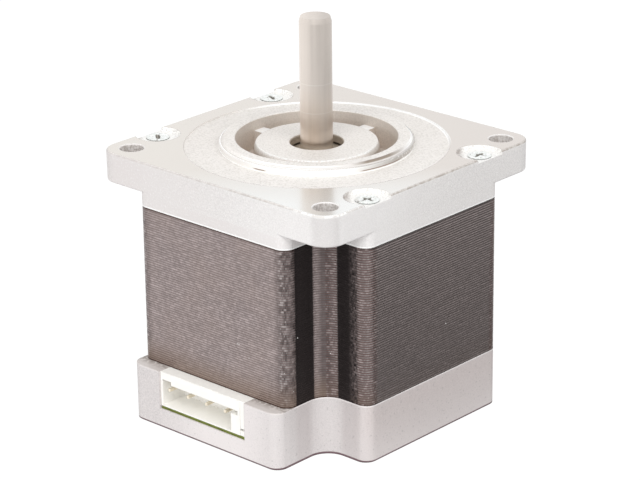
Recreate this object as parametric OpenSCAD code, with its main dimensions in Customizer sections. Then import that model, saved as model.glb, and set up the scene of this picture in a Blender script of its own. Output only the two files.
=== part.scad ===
// Hybrid stepper motor with a square flange, a die-cast front bell, a laminated
// stator, a die-cast rear cap and a plug socket in one side of the cap.
// The mounting face is the plane z = 0 and the shaft points along +Z.
// The plug socket faces -Y and the four long screws sit beside the X edges.

/* [Flange] */
// Side of the square mounting flange
flange_side = 57; // [55:0.5:60]
// Thickness of the flange plate
flange_t = 5.85; // [5:0.05:6.5]
// Corner radius of the flange, seen from the front
flange_corner_r = 4; // [2.5:0.1:4.4]
// Rounding of the flange's front edge
flange_edge_r = 0.4; // [0.2:0.05:0.8]
// Rounding of the flange's rear edge
flange_foot_r = 0.3; // [0.2:0.1:1.6]
// Distance between neighbouring mounting holes
hole_spacing = 48; // [47:0.25:49]
// Diameter of the mounting holes
hole_d = 4.4; // [4:0.1:5]

/* [Pilot and hub] */
// Diameter of the locating pilot
pilot_d = 36; // [35:0.1:38.1]
// Height of the pilot above the mounting face
pilot_h = 1.5; // [1.3:0.1:2]
// Diameter of the shallow cast recess around the pilot
recess_d = 49; // [44:0.5:50]
// Width of the locating ring, from the pilot in to the ring channel
pilot_ring_w = 3; // [2.5:0.1:4]
// Depth of the ring channel below the mounting face
channel_deep = 4; // [2:0.2:4]
// Thickness of the hub's wall around the front bearing
hub_wall_t = 2.05; // [1.8:0.05:2.5]
// Diameter of the hole that the shaft comes out of
shaft_hole_d = 9.8; // [8:0.2:11]

/* [Housing] */
// Length of the scalloped skirt behind the flange plate
skirt_l = 2.75; // [2.5:0.05:5]
// Length of the lamination stack
stack_l = 30.1; // [26:0.1:50]
// Length of the rear cap
cap_l = 11.15; // [11:0.05:14]
// How far the cap stands out past the stack on the socket side
cap_ledge = 2.8; // [2.2:0.1:4]
// Clearance of the corner notches around a mounting hole's axis
notch_clear = 5.6; // [5:0.1:5.8]
// Inner corner radius of the notches
notch_round = 4.1; // [2:0.1:4.5]
// Radius of the lobes beside the notches
lobe_round = 2.2; // [1:0.1:2.4]

/* [Shaft] */
// Diameter of the output shaft
shaft_d = 6; // [5.5:0.05:6.35]
// Length of the shaft in front of the mounting face
shaft_out = 24.3; // [15:0.1:40]
// Length of the ground output end, from the tip down
shaft_free = 17.7; // [10:0.1:22]
// Diameter of the part of the shaft that carries the rotor
rotor_seat_d = 8; // [7.5:0.1:9]

/* [Rotor and stator] */
// Outer diameter of the rotor over its teeth
rotor_d = 26.9; // [26:0.1:27.2]
// Air gap between rotor and stator teeth
air_gap = 0.1; // [0.05:0.01:0.2]
// Number of rotor teeth
rotor_teeth = 50; // [50:10:60]
// Thickness of the disc magnet between the rotor cores
magnet_t = 2.4; // [1.5:0.1:4]
// Width of a stator pole
pole_w = 5.6; // [4.8:0.1:5.8]
// Depth of the winding slots outside the pole shoes
slot_deep = 7.2; // [6.6:0.1:7.6]

/* [Bearings] */
// Outer diameter of the ball bearings
bearing_od = 19; // [18:0.1:19.2]
// Width of the ball bearings
bearing_w = 6; // [5.5:0.1:6]
// Ball diameter
ball_d = 3.5; // [3:0.1:3.5]
// Number of balls in a bearing
ball_count = 7; // [6:1:7]

/* [Screws] */
// Thread diameter of the four long screws
screw_d = 3; // [2.6:0.1:3]
// Diameter of the screw heads
screw_head_d = 4.4; // [4.2:0.1:5.6]
// Distance of the screws from the flange's nearest edge
screw_edge = 2.5; // [2.3:0.1:3]
// Distance of the screws from the side of the corner notches
screw_notch = 3; // [2.8:0.1:3.6]
// Diameter of the pockets around the screw heads
pocket_d = 8.5; // [7:0.1:8.8]
// Depth of the pockets
pocket_deep = 0.7; // [0.5:0.1:1.2]

/* [Plug socket] */
// Distance from the first pin to the socket's thin end
socket_thin_end = 1.975; // [1.9:0.025:2.4]
// Distance from the last pin to the socket's thick end
socket_thick_end = 3.975; // [3.6:0.025:4.5]
// Distance between neighbouring contact pins
pin_pitch = 4.75; // [4:0.01:4.75]
// Number of contact pins
pin_count = 4; // [2:1:4]
// Thickness of the contact pins
pin_t = 0.6; // [0.4:0.05:0.7]
// Thickness of the circuit board
board_t = 1.6; // [1:0.1:1.6]

/* [Hidden] */
$fn = 96;

// Overrun of every cut past the surface it opens
over = 1;
// Clearance between still pieces that are pressed or laid together
seat = 0.02;

// Flange details
flange_draft = 0.05;
hole_chamfer = 0.2;
flange_half = flange_side / 2;
corner_c = flange_half - flange_corner_r;
hole_c = hole_spacing / 2;

// Housing outline and stations along the axis
skirt_inset = 0.06;
body_half = flange_half - skirt_inset;
ledge_half = flange_half + cap_ledge;
notch_c = hole_c - notch_clear;
skirt_z = -(flange_t + skirt_l);
stack_z = skirt_z - stack_l;
cap_z = stack_z - cap_l;
arc_steps = 10;

// Screw places
screw_x = flange_half - screw_edge;
screw_y = notch_c - screw_notch;

// Rotor and stator details
pole_count = 8;
pole_teeth = 5;
pole_slot_deep = 0.6;
shoe_t = 1.85;
rotor_r = rotor_d / 2;
rotor_end = 0.95;
rotor_slot_deep = 0.7;
tooth_pitch = 360 / rotor_teeth;
slot_w = rotor_r * sin(tooth_pitch / 2);
bore_r = rotor_r + air_gap;
shoe_half_angle = (pole_teeth - 1) / 2 * tooth_pitch + tooth_pitch / 4;
slot_r = bore_r + shoe_t + slot_deep;
stack_mid_z = (skirt_z + stack_z) / 2;
rotor_front_z = skirt_z - rotor_end;
rotor_rear_z = stack_z + rotor_end;
core_l = (rotor_front_z - rotor_rear_z - magnet_t) / 2;
magnet_rim = 1.6;

// Section of the bell inside the recess
bearing_r = bearing_od / 2;
recess_deep = 0.2;
recess_overlap = 1;
pilot_wall_h = 0.95;
pilot_ledge = 0.35;
pilot_slope = 0.45;
edge_soft = 0.15;
channel_draft_share = 0.09;
web_t = 1.4;
hub_rise = 0.4;
hub_bevel = 0.3;
hub_bevel_h = 0.8;
hub_draft_share = 0.045;
shaft_hole_chamfer = 0.25;
hub_front_t = 1.8;
bearing_relief = 0.3;
bearing_shoulder = 1.7;
boss_end = 0.6;
boss_chamfer = 0.2;
cavity_step = 1.4;
cavity_front_t = 3;
cavity_clear = 0.2;
cavity_wall_t = 1.7;
cavity_r = slot_r + cavity_clear;
bell_core_r = cavity_r + cavity_wall_t;
recess_r = recess_d / 2;
plate_hole_r = min(recess_r, bell_core_r) - recess_overlap;
rib_w = 2.6;
rib_drop = 0.45;
pilot_r = pilot_d / 2;
channel_r = pilot_r - pilot_ring_w;
hub_r = bearing_r + hub_wall_t;
channel_draft = (channel_r - hub_r) * channel_draft_share;
hub_draft = (channel_r - hub_r) * hub_draft_share;

// Stations of the bearings
front_bearing_z = hub_rise - hub_front_t;
journal_step = 0.25;
journal_d = shaft_d + 2 * journal_step;
front_shoulder_z = front_bearing_z - bearing_w;
washer_room = 0.8;
cap_floor_t = 2.65;
cap_foot_h = 0.15;
cap_foot_inset = 0.2;
cap_floor_z = cap_z + cap_floor_t;
rear_bearing_z = cap_floor_z + washer_room + bearing_w;
shaft_end_gap = 0.4;
shaft_end_z = cap_floor_z + shaft_end_gap;
boss_wall_t = 2;
boss_r = bearing_r + boss_wall_t;

// Ring and ball sizes
pitch_r = (bearing_r + journal_d / 2) / 2;
race_clear = 0.04;
land_share = 0.43;
land_out_r = pitch_r + ball_d * land_share;
land_in_r = pitch_r - ball_d * land_share;
shield_t = 0.3;
shield_in = 0.35;
shield_clear = 0.2;
shield_seat = 0.45;
cage_half_w = 0.7;
cage_low = 1.2;
cage_top_gap = 0.12;
ring_chamfer = 0.25;

// Insulators and coils
plate_t = 0.8;
ins_top_gap = 0.6;
ins_wall_h = -skirt_z - cavity_front_t - ins_top_gap - plate_t;
ins_wall_t = 0.7;
end_turn_gap = 0.2;
end_turn_h = -skirt_z - channel_deep - web_t - end_turn_gap - plate_t;
ins_side = 0.4;
ins_gap = 0.1;
ins_lip = 3.5;
coil_gap = 0.1;
shoe_gap = 1.2;
coil_start_r = bore_r + shoe_t + shoe_gap;
coil_end_r = cavity_r - ins_gap - ins_wall_t - coil_gap;
coil_apart = 0.5;
coil_round = 1.4;

// Screw details
screw_hole_clear = 0.2;
screw_rise = 0.2;
head_cone = 1;
cross_w = 0.8;
cross_l = 3;
cross_deep = 0.9;
screw_end_gap = 0.6;
screw_floor_t = 2.4;

// Socket, pins and board
socket_shift = -1.2;
socket_w = (pin_count - 1) * pin_pitch + socket_thin_end + socket_thick_end;
socket_half = socket_w / 2;
socket_back_gap = 1.1;
socket_depth = 7;
socket_back_y = -(cavity_r + socket_back_gap);
socket_front_y = socket_back_y - socket_depth;
socket_top_gap = 0.05;
socket_top_z = stack_z - socket_top_gap;
socket_thin_t = 0.5;
socket_side_t = 2.3;
socket_roof_t = 2.2;
socket_floor_t = 0.3;
socket_back_t = 1.4;
socket_slot_h = 0.9;
socket_slot_w = 1.7;
socket_step_w = 2.2;
socket_step_h = 0.7;
socket_ear_w = 1.3;
socket_ear_share = 0.8;
socket_ear_back = 0.1;
foot_share = 0.14;
pin_drop = 3.4;
pin_tip_in = 0.1;
pin_shift = (socket_thin_end - socket_thick_end) / 2;
pin_leg_gap = 0.6;
pin_hole_clear = 0.05;
lip_t = 0.4;
lip_gap = 0.5;
opening_left = socket_half - socket_shift + seat;
opening_ear_gap = 0.1;
opening_right = socket_half + socket_shift + socket_ear_w + opening_ear_gap;
board_side_gap = 0.1;
board_edge_gap = 0.1;
board_top_z = cap_floor_z + board_t;
board_arc_gap = 0.6;
opening_back = sqrt(pow(cavity_r, 2) - pow(opening_left, 2)) - edge_soft;
lip_z = board_top_z - lip_gap;
terminal_r = 0.3;
terminal_angles = [-24, -8, 8, 24];

// Points of an arc from one angle to another
function arc(c, r, a0, a1, n) = [for (i = [0 : n]) c + r * [cos(a0 + (a1 - a0) * i / n), sin(a0 + (a1 - a0) * i / n)]];

// One corner of the housing, from the +X face round the notch to the +Y face
function notch_corner(hx, hy) = concat(
    arc([hx - lobe_round, notch_c - lobe_round], lobe_round, 0, 90, arc_steps),
    arc([notch_c + notch_round, notch_c + notch_round], notch_round, 270, 180, arc_steps),
    arc([notch_c - lobe_round, hy - lobe_round], lobe_round, 0, 90, arc_steps));

function turned(points) = [for (i = [len(points) - 1 : -1 : 0]) points[i]];

// The whole outline, with its own reach towards -Y
function housing_outline(h, h_low) = concat(
    notch_corner(h, h),
    turned([for (p = notch_corner(h, h)) [-p.x, p.y]]),
    [for (p = notch_corner(h, h_low)) [-p.x, -p.y]],
    turned([for (p = notch_corner(h, h_low)) [p.x, -p.y]]));

// Edge section of the flange, measured outwards from the corner's centre
flange_section = concat(
    [[0, 0]],
    arc([flange_corner_r - flange_edge_r, -flange_edge_r], flange_edge_r, 90, 0, 4),
    arc([flange_corner_r - flange_draft - flange_foot_r, flange_foot_r - flange_t], flange_foot_r, 0, -90, 5),
    [[0, -flange_t]]);

module at_corners() {
    for (i = [0 : 3])
        rotate([0, 0, 90 * i])
            children();
}

// Copies for the four screws
module at_screws() {
    for (sx = [-1, 1], sy = [-1, 1])
        translate([sx * screw_x, sy * screw_y, 0])
            children();
}

module tube_between(r_out, r_in, z0, z1) {
    translate([0, 0, z0])
        difference() {
            cylinder(r = r_out, h = z1 - z0);
            translate([0, 0, -over])
                cylinder(r = r_in, h = z1 - z0 + 2 * over);
        }
}

module hole_between(r, z0, z1) {
    translate([0, 0, z0])
        cylinder(r = r, h = z1 - z0);
}

// Square plate with rounded corners and softened edges
module flange_plate() {
    at_corners() {
        translate([corner_c, corner_c, 0])
            rotate_extrude(angle = 90)
                polygon(flange_section);
        translate([corner_c, corner_c, 0])
            rotate([90, 0, 0])
                linear_extrude(height = 2 * corner_c)
                    polygon(flange_section);
    }
    translate([-corner_c, -corner_c, -flange_t])
        cube([2 * corner_c, 2 * corner_c, flange_t]);
}

// Half section of the bell's round middle: pilot, channel, hub and winding space
bell_section = [
    [bell_core_r, -recess_deep],
    [pilot_r, -recess_deep],
    [pilot_r, pilot_wall_h - edge_soft],
    [pilot_r - edge_soft, pilot_wall_h],
    [pilot_r - pilot_ledge, pilot_wall_h],
    [pilot_r - pilot_ledge - pilot_slope, pilot_h],
    [channel_r + edge_soft, pilot_h],
    [channel_r, pilot_h - edge_soft],
    [channel_r - channel_draft, -channel_deep],
    [hub_r + hub_draft, -channel_deep],
    [hub_r, hub_rise - hub_bevel_h],
    [hub_r - hub_bevel, hub_rise],
    [shaft_hole_d / 2 + shaft_hole_chamfer, hub_rise],
    [shaft_hole_d / 2, hub_rise - shaft_hole_chamfer],
    [shaft_hole_d / 2, front_bearing_z + bearing_relief],
    [bearing_r - bearing_shoulder, front_bearing_z + bearing_relief],
    [bearing_r - bearing_shoulder, front_bearing_z],
    [bearing_r + seat, front_bearing_z],
    [bearing_r + seat, front_shoulder_z - boss_end + boss_chamfer],
    [bearing_r + boss_chamfer, front_shoulder_z - boss_end],
    [hub_r, front_shoulder_z - boss_end],
    [hub_r + hub_draft, -channel_deep - web_t],
    [channel_r + cavity_step, -channel_deep - web_t],
    [channel_r + cavity_step, -cavity_front_t],
    [cavity_r, -cavity_front_t],
    [cavity_r, skirt_z],
    [bell_core_r, skirt_z]];

module front_end_bell() {
    color([0.86, 0.85, 0.84])
    difference() {
        union() {
            rotate_extrude()
                polygon(bell_section);
            // The square plate and the scalloped skirt around the round middle
            difference() {
                union() {
                    flange_plate();
                    translate([0, 0, skirt_z])
                        linear_extrude(height = skirt_l + flange_foot_r)
                            polygon(housing_outline(body_half, body_half));
                }
                hole_between(bell_core_r - recess_overlap, skirt_z - over, -cavity_front_t);
                hole_between(plate_hole_r, -cavity_front_t - over, over);
                hole_between(recess_r, -recess_deep, over);
            }
            // Four ribs that join the hub to the pilot ring
            at_corners()
                translate([hub_r - hub_bevel, -rib_w / 2, -channel_deep - web_t / 2])
                    cube([channel_r - hub_r + 2 * hub_bevel, rib_w, channel_deep + web_t / 2 - rib_drop]);
        }
        // Mounting holes with a small chamfer at the face
        at_corners()
            translate([hole_c, hole_c, 0]) {
                hole_between(hole_d / 2, -flange_t - over, over);
                translate([0, 0, -hole_chamfer])
                    cylinder(r1 = hole_d / 2, r2 = hole_d / 2 + hole_chamfer + over, h = hole_chamfer + over);
            }
        // Screw pockets, countersinks and through holes
        at_screws() {
            hole_between(pocket_d / 2, -pocket_deep, over);
            translate([0, 0, -pocket_deep - head_cone])
                cylinder(r1 = screw_d / 2, r2 = screw_head_d / 2, h = head_cone);
            hole_between(screw_d / 2 + screw_hole_clear, skirt_z - over, -pocket_deep - over / 2);
        }
    }
}

// Slots and teeth of one stator pole, drawn on the +X axis
module pole_2d() {
    translate([bore_r - over, -pole_w / 2])
        square([slot_r - bore_r + 2 * over, pole_w]);
    intersection() {
        circle(r = bore_r + shoe_t);
        polygon([[0, 0], 2 * slot_r * [cos(shoe_half_angle), -sin(shoe_half_angle)],
            2 * slot_r * [1, 0], 2 * slot_r * [cos(shoe_half_angle), sin(shoe_half_angle)]]);
    }
}

module pole_slots_2d() {
    for (k = [0 : pole_teeth - 2])
        rotate((k - (pole_teeth - 2) / 2) * tooth_pitch)
            translate([bore_r - over, -slot_w / 2])
                square([over + pole_slot_deep, slot_w]);
}

module stator_laminations() {
    color([0.16, 0.14, 0.14])
    translate([0, 0, stack_z])
        linear_extrude(height = stack_l)
            difference() {
                polygon(housing_outline(body_half, body_half));
                difference() {
                    circle(r = slot_r);
                    for (i = [0 : pole_count - 1])
                        rotate(i * 360 / pole_count)
                            pole_2d();
                }
                circle(r = bore_r);
                for (i = [0 : pole_count - 1])
                    rotate(i * 360 / pole_count)
                        pole_slots_2d();
                for (sx = [-1, 1], sy = [-1, 1])
                    translate([sx * screw_x, sy * screw_y])
                        circle(d = screw_d + 2 * screw_hole_clear);
            }
}

module rear_end_cap() {
    color([0.85, 0.84, 0.83])
    difference() {
        union() {
            translate([0, 0, cap_z + cap_foot_h])
                linear_extrude(height = cap_l - cap_foot_h)
                    polygon(housing_outline(body_half, ledge_half));
            // Foot that the cap stands on, set in all round
            translate([0, 0, cap_z])
                linear_extrude(height = 2 * cap_foot_h)
                    polygon(housing_outline(body_half - cap_foot_inset, ledge_half - cap_foot_inset));
        }
        // Winding space around the bearing boss
        difference() {
            hole_between(cavity_r, cap_floor_z, stack_z + over);
            hole_between(boss_r, cap_floor_z - over, rear_bearing_z);
        }
        hole_between(bearing_r + seat, cap_floor_z, stack_z + over);
        // Opening for the socket and the bed of the board behind its lip
        translate([-opening_left, -ledge_half - over, lip_z])
            cube([opening_left + opening_right, ledge_half - opening_back + over, stack_z - lip_z + over]);
        translate([-opening_left, -ledge_half + lip_t, cap_floor_z])
            cube([opening_left + opening_right, ledge_half - opening_back - lip_t, lip_z - cap_floor_z + over]);
        // Blind threaded holes for the screws
        at_screws()
            hole_between(screw_d / 2 + seat, cap_z + screw_floor_t, stack_z + over);
    }
}

module assembly_screws() {
    screw_end_z = cap_z + screw_floor_t + screw_end_gap;
    color([0.8, 0.81, 0.8])
    at_screws()
        difference() {
            union() {
                hole_between(screw_head_d / 2 - seat, -pocket_deep, screw_rise - pocket_deep);
                translate([0, 0, -pocket_deep - head_cone])
                    cylinder(r1 = screw_d / 2 - seat, r2 = screw_head_d / 2 - seat, h = head_cone);
                hole_between(screw_d / 2, screw_end_z, -pocket_deep - head_cone);
            }
            for (a = [0, 90])
                rotate([0, 0, a])
                    translate([-cross_l / 2, -cross_w / 2, screw_rise - pocket_deep - cross_deep])
                        cube([cross_l, cross_w, cross_deep + over]);
        }
}

// Half section of the shaft: ground output end, journals and rotor seat
shaft_chamfer_w = 0.25;
shaft_chamfer_h = 0.9;
shaft_groove_w = 0.2;
shaft_groove_deep = 0.05;
journal_chamfer = 0.3;
shaft_step_rise = 0.05;
shaft_step_z = hub_rise + shaft_step_rise;
shaft_section = [
    [0, shaft_out],
    [shaft_d / 2 - shaft_chamfer_w, shaft_out],
    [shaft_d / 2, shaft_out - shaft_chamfer_h],
    [shaft_d / 2, shaft_out - shaft_free],
    [shaft_d / 2 - shaft_groove_deep, shaft_out - shaft_free - shaft_groove_w / 2],
    [shaft_d / 2, shaft_out - shaft_free - shaft_groove_w],
    [shaft_d / 2, shaft_step_z],
    [journal_d / 2, shaft_step_z - journal_step],
    [journal_d / 2, front_shoulder_z],
    [rotor_seat_d / 2, front_shoulder_z],
    [rotor_seat_d / 2, rear_bearing_z],
    [journal_d / 2, rear_bearing_z],
    [journal_d / 2, shaft_end_z + journal_chamfer],
    [journal_d / 2 - journal_chamfer, shaft_end_z],
    [0, shaft_end_z]];

module shaft() {
    color([0.78, 0.76, 0.74])
    rotate_extrude()
        polygon(shaft_section);
}

// Toothed rotor core, with its teeth turned by a share of the pitch
module rotor_core(z0, turn_share) {
    translate([0, 0, z0])
        rotate([0, 0, turn_share * tooth_pitch])
            linear_extrude(height = core_l)
                difference() {
                    circle(r = rotor_r);
                    circle(d = rotor_seat_d + 2 * seat);
                    for (i = [0 : rotor_teeth - 1])
                        rotate((i + 0.5) * tooth_pitch)
                            translate([rotor_r - rotor_slot_deep, -slot_w / 2])
                                square([rotor_slot_deep + over, slot_w]);
                }
}

module front_rotor_core() {
    color([0.45, 0.45, 0.47])
    rotor_core(rotor_front_z - core_l, 0);
}

module rear_rotor_core() {
    color([0.42, 0.42, 0.44])
    rotor_core(rotor_rear_z, 0.5);
}

module rotor_magnet() {
    color([0.3, 0.3, 0.32])
    tube_between(rotor_r - magnet_rim, rotor_seat_d / 2 + seat, rotor_rear_z + core_l, rotor_front_z - core_l);
}

// Rings of a bearing whose front face is at z0
module outer_ring(z0) {
    difference() {
        tube_between(bearing_r, land_out_r, z0 - bearing_w, z0);
        translate([0, 0, z0 - bearing_w / 2])
            rotate_extrude()
                translate([pitch_r, 0])
                    circle(r = ball_d / 2 + race_clear, $fn = 48);
        // Seats of the two shields
        hole_between(land_out_r + shield_seat, z0 - shield_in - shield_t, z0 + over);
        hole_between(land_out_r + shield_seat, z0 - bearing_w - over, z0 - bearing_w + shield_in + shield_t);
    }
}

module inner_ring(z0) {
    difference() {
        tube_between(land_in_r, journal_d / 2 + seat, z0 - bearing_w, z0);
        translate([0, 0, z0 - bearing_w / 2])
            rotate_extrude()
                translate([pitch_r, 0])
                    circle(r = ball_d / 2 + race_clear, $fn = 48);
        translate([0, 0, z0 - ring_chamfer])
            cylinder(r1 = journal_d / 2, r2 = journal_d / 2 + ring_chamfer + over, h = ring_chamfer + over);
    }
}

module ball_ring(z0, r) {
    for (i = [0 : ball_count - 1])
        rotate([0, 0, i * 360 / ball_count])
            translate([pitch_r, 0, z0 - bearing_w / 2])
                sphere(r = r, $fn = 48);
}

module bearing_cage(z0) {
    mid = z0 - bearing_w / 2;
    difference() {
        tube_between(pitch_r + cage_half_w, pitch_r - cage_half_w, mid - cage_low,
            z0 - shield_in - shield_t - cage_top_gap);
        ball_ring(z0, ball_d / 2 + race_clear);
    }
}

module bearing_shields(z0) {
    for (z = [z0 - shield_in - shield_t, z0 - bearing_w + shield_in])
        tube_between(land_out_r + shield_seat - seat, land_in_r + shield_clear, z, z + shield_t);
}

module front_bearing_outer_ring() {
    color([0.7, 0.7, 0.72])
    outer_ring(front_bearing_z);
}

module front_bearing_inner_ring() {
    color([0.72, 0.72, 0.74])
    inner_ring(front_bearing_z);
}

module front_bearing_balls() {
    color([0.85, 0.85, 0.87])
    ball_ring(front_bearing_z, ball_d / 2);
}

module front_bearing_cage() {
    color([0.75, 0.7, 0.5])
    bearing_cage(front_bearing_z);
}

module front_bearing_shields() {
    color([0.6, 0.6, 0.62])
    bearing_shields(front_bearing_z);
}

module rear_bearing_outer_ring() {
    color([0.7, 0.7, 0.72])
    outer_ring(rear_bearing_z);
}

module rear_bearing_inner_ring() {
    color([0.72, 0.72, 0.74])
    inner_ring(rear_bearing_z);
}

module rear_bearing_balls() {
    color([0.85, 0.85, 0.87])
    ball_ring(rear_bearing_z, ball_d / 2);
}

module rear_bearing_cage() {
    color([0.75, 0.7, 0.5])
    bearing_cage(rear_bearing_z);
}

module rear_bearing_shields() {
    color([0.6, 0.6, 0.62])
    bearing_shields(rear_bearing_z);
}

// Spring washer with three waves that loads the rear bearing
washer_t = 0.3;
washer_w = 1.7;
washer_waves = 3;
washer_steps = 36;
washer_lift = (washer_room - washer_t) / 2 - seat;
washer_z = cap_floor_z + washer_room / 2;

module wave_washer() {
    r_out = bearing_r - ring_chamfer;
    r_in = r_out - washer_w;
    points = [for (i = [0 : washer_steps - 1])
        let (a = i * 360 / washer_steps, z = washer_z + washer_lift * cos(washer_waves * a))
        for (c = [[r_in, -1], [r_out, -1], [r_out, 1], [r_in, 1]])
            [c[0] * cos(a), c[0] * sin(a), z + c[1] * washer_t / 2]];
    faces = [for (i = [0 : washer_steps - 1], k = [0 : 3])
        let (a = 4 * i, b = 4 * ((i + 1) % washer_steps), n = (k + 1) % 4)
        each [[a + k, a + n, b + n], [a + k, b + n, b + k]]];
    color([0.7, 0.7, 0.68])
    polyhedron(points, faces);
}

// Moulded frame on one end of the stack, drawn upwards from the end face
module winding_insulator() {
    ring_r = cavity_r - ins_gap;
    difference() {
        union() {
            tube_between(ring_r, ring_r - ins_wall_t, 0, plate_t + ins_wall_h);
            for (i = [0 : pole_count - 1])
                rotate([0, 0, i * 360 / pole_count]) {
                    translate([bore_r + ins_side, -pole_w / 2 - ins_side, 0])
                        cube([ring_r - ins_wall_t / 2 - bore_r - ins_side, pole_w + 2 * ins_side, plate_t]);
                    translate([bore_r + ins_side, -ins_lip, 0])
                        cube([ins_wall_t, 2 * ins_lip, plate_t + end_turn_h]);
                }
        }
        translate([0, 0, -over])
            cylinder(r = bore_r + ins_side, h = plate_t + ins_wall_h + 2 * over);
    }
}

module front_winding_insulator() {
    color([0.9, 0.88, 0.8])
    translate([0, 0, skirt_z])
        winding_insulator();
}

module rear_winding_insulator() {
    color([0.9, 0.88, 0.8])
    translate([0, 0, stack_z])
        mirror([0, 0, 1])
            winding_insulator();
}

// One coil round the pole on the +X axis, with rounded end turns
module pole_coil() {
    inner_half = pole_w / 2 + ins_side + coil_gap;
    near = coil_start_r * tan(180 / pole_count) - coil_apart;
    far = slot_r * tan(180 / pole_count) - coil_apart;
    reach = plate_t + end_turn_h;
    coil_l = stack_l + 2 * reach;
    difference() {
        intersection() {
            translate([0, 0, stack_z - reach])
                linear_extrude(height = coil_l)
                    intersection() {
                        circle(r = coil_end_r);
                        polygon([[coil_start_r, -near], [slot_r, -far], [slot_r, far], [coil_start_r, near]]);
                    }
            translate([coil_start_r - over, 0, stack_mid_z])
                rotate([90, 0, 90])
                    linear_extrude(height = slot_r - coil_start_r + 2 * over)
                        polygon(concat(
                            arc([far - coil_round, coil_l / 2 - coil_round], coil_round, 0, 90, 5),
                            arc([coil_round - far, coil_l / 2 - coil_round], coil_round, 90, 180, 5),
                            arc([coil_round - far, coil_round - coil_l / 2], coil_round, 180, 270, 5),
                            arc([far - coil_round, coil_round - coil_l / 2], coil_round, 270, 360, 5)));
        }
        translate([coil_start_r - over, -inner_half, stack_z - plate_t - coil_gap])
            cube([slot_r, 2 * inner_half, stack_l + 2 * plate_t + 2 * coil_gap]);
    }
}

module phase_a_coils() {
    color([0.75, 0.42, 0.2])
    for (i = [0 : 2 : pole_count - 1])
        rotate([0, 0, i * 360 / pole_count])
            pole_coil();
}

module phase_b_coils() {
    color([0.7, 0.38, 0.18])
    for (i = [1 : 2 : pole_count - 1])
        rotate([0, 0, i * 360 / pole_count])
            pole_coil();
}

// Places of the contact pins across the socket
function pin_x(i) = socket_shift + pin_shift + (i - (pin_count - 1) / 2) * pin_pitch;
pin_leg_y = socket_back_y + pin_leg_gap;
pin_z = stack_z - pin_drop;
terminal_ring_r = cavity_r - ins_gap - ins_wall_t / 2;

module connection_board() {
    color([0.25, 0.38, 0.12])
    difference() {
        translate([-opening_left + board_side_gap, -ledge_half + lip_t + board_edge_gap, cap_floor_z])
            cube([opening_left + opening_right - 2 * board_side_gap,
                ledge_half - lip_t - board_edge_gap - boss_r + board_arc_gap, board_t]);
        hole_between(boss_r + board_arc_gap, cap_floor_z - over, board_top_z + over);
        for (i = [0 : pin_count - 1])
            translate([pin_x(i), pin_leg_y, 0])
                hole_between(pin_t * sqrt(2) / 2 + pin_hole_clear, cap_floor_z - over, board_top_z + over);
        for (a = terminal_angles)
            rotate([0, 0, a])
                translate([0, -terminal_ring_r, 0])
                    hole_between(terminal_r + pin_hole_clear, cap_floor_z - over, board_top_z + over);
    }
}

module connector_header() {
    left = socket_shift - socket_half;
    height = socket_top_z - board_top_z;
    mouth_w = socket_w - socket_thin_t - socket_side_t;
    mouth_h = height - socket_roof_t - socket_floor_t;
    mouth_back = socket_depth - socket_back_t + over;
    ear_h = height * socket_ear_share;
    foot_h = height * foot_share;
    color([0.93, 0.92, 0.88])
    difference() {
        union() {
            translate([left, socket_front_y, board_top_z])
                cube([socket_w, socket_depth, height]);
            // Ear beside the roof and foot beside the floor, towards the wide end of the opening
            translate([left + socket_w - over, socket_front_y + socket_ear_back, socket_top_z - ear_h])
                cube([socket_ear_w + over, socket_depth - 2 * socket_ear_back, ear_h]);
            translate([left + socket_w - over, socket_front_y + socket_ear_back, board_top_z])
                cube([socket_ear_w + over, socket_depth - 2 * socket_ear_back, foot_h]);
        }
        // Mouth for the plug
        translate([left + socket_thin_t, socket_front_y - over, board_top_z + socket_floor_t])
            cube([mouth_w, mouth_back, mouth_h]);
        // Key slots: one above the mouth's thin end and one beside its thick end
        translate([left + socket_thin_t, socket_front_y - over, board_top_z + socket_floor_t])
            cube([socket_step_w, mouth_back, mouth_h + socket_step_h]);
        translate([left + socket_thin_t, socket_front_y - over,
            board_top_z + socket_floor_t + mouth_h - socket_slot_h])
            cube([mouth_w + socket_slot_w, mouth_back, socket_slot_h]);
        for (i = [0 : pin_count - 1])
            translate([pin_x(i) - pin_t / 2 - seat, socket_front_y, pin_z - pin_t / 2 - seat])
                cube([pin_t + 2 * seat, socket_depth + over, pin_t + 2 * seat]);
    }
}

// Right-angle pins: through the socket's back wall and down into the board
module connector_pins() {
    color([0.85, 0.75, 0.5])
    for (i = [0 : pin_count - 1])
        translate([pin_x(i) - pin_t / 2, 0, 0]) {
            translate([0, socket_front_y + pin_tip_in, pin_z - pin_t / 2])
                cube([pin_t, pin_leg_y + pin_t / 2 - socket_front_y - pin_tip_in, pin_t]);
            translate([0, pin_leg_y - pin_t / 2, cap_floor_z + seat])
                cube([pin_t, pin_t, pin_z + pin_t / 2 - cap_floor_z - seat]);
        }
}

// Posts that carry the coil ends from the rear insulator to the board
module coil_terminals() {
    color([0.8, 0.78, 0.7])
    for (a = terminal_angles)
        rotate([0, 0, a])
            translate([0, -terminal_ring_r, 0])
                hole_between(terminal_r, cap_floor_z + seat, stack_z - plate_t - ins_wall_h);
}

front_end_bell();
stator_laminations();
rear_end_cap();
assembly_screws();
shaft();
front_rotor_core();
rear_rotor_core();
rotor_magnet();
front_bearing_outer_ring();
front_bearing_inner_ring();
front_bearing_balls();
front_bearing_cage();
front_bearing_shields();
rear_bearing_outer_ring();
rear_bearing_inner_ring();
rear_bearing_balls();
rear_bearing_cage();
rear_bearing_shields();
wave_washer();
front_winding_insulator();
rear_winding_insulator();
phase_a_coils();
phase_b_coils();
connection_board();
connector_header();
connector_pins();
coil_terminals();
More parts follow.
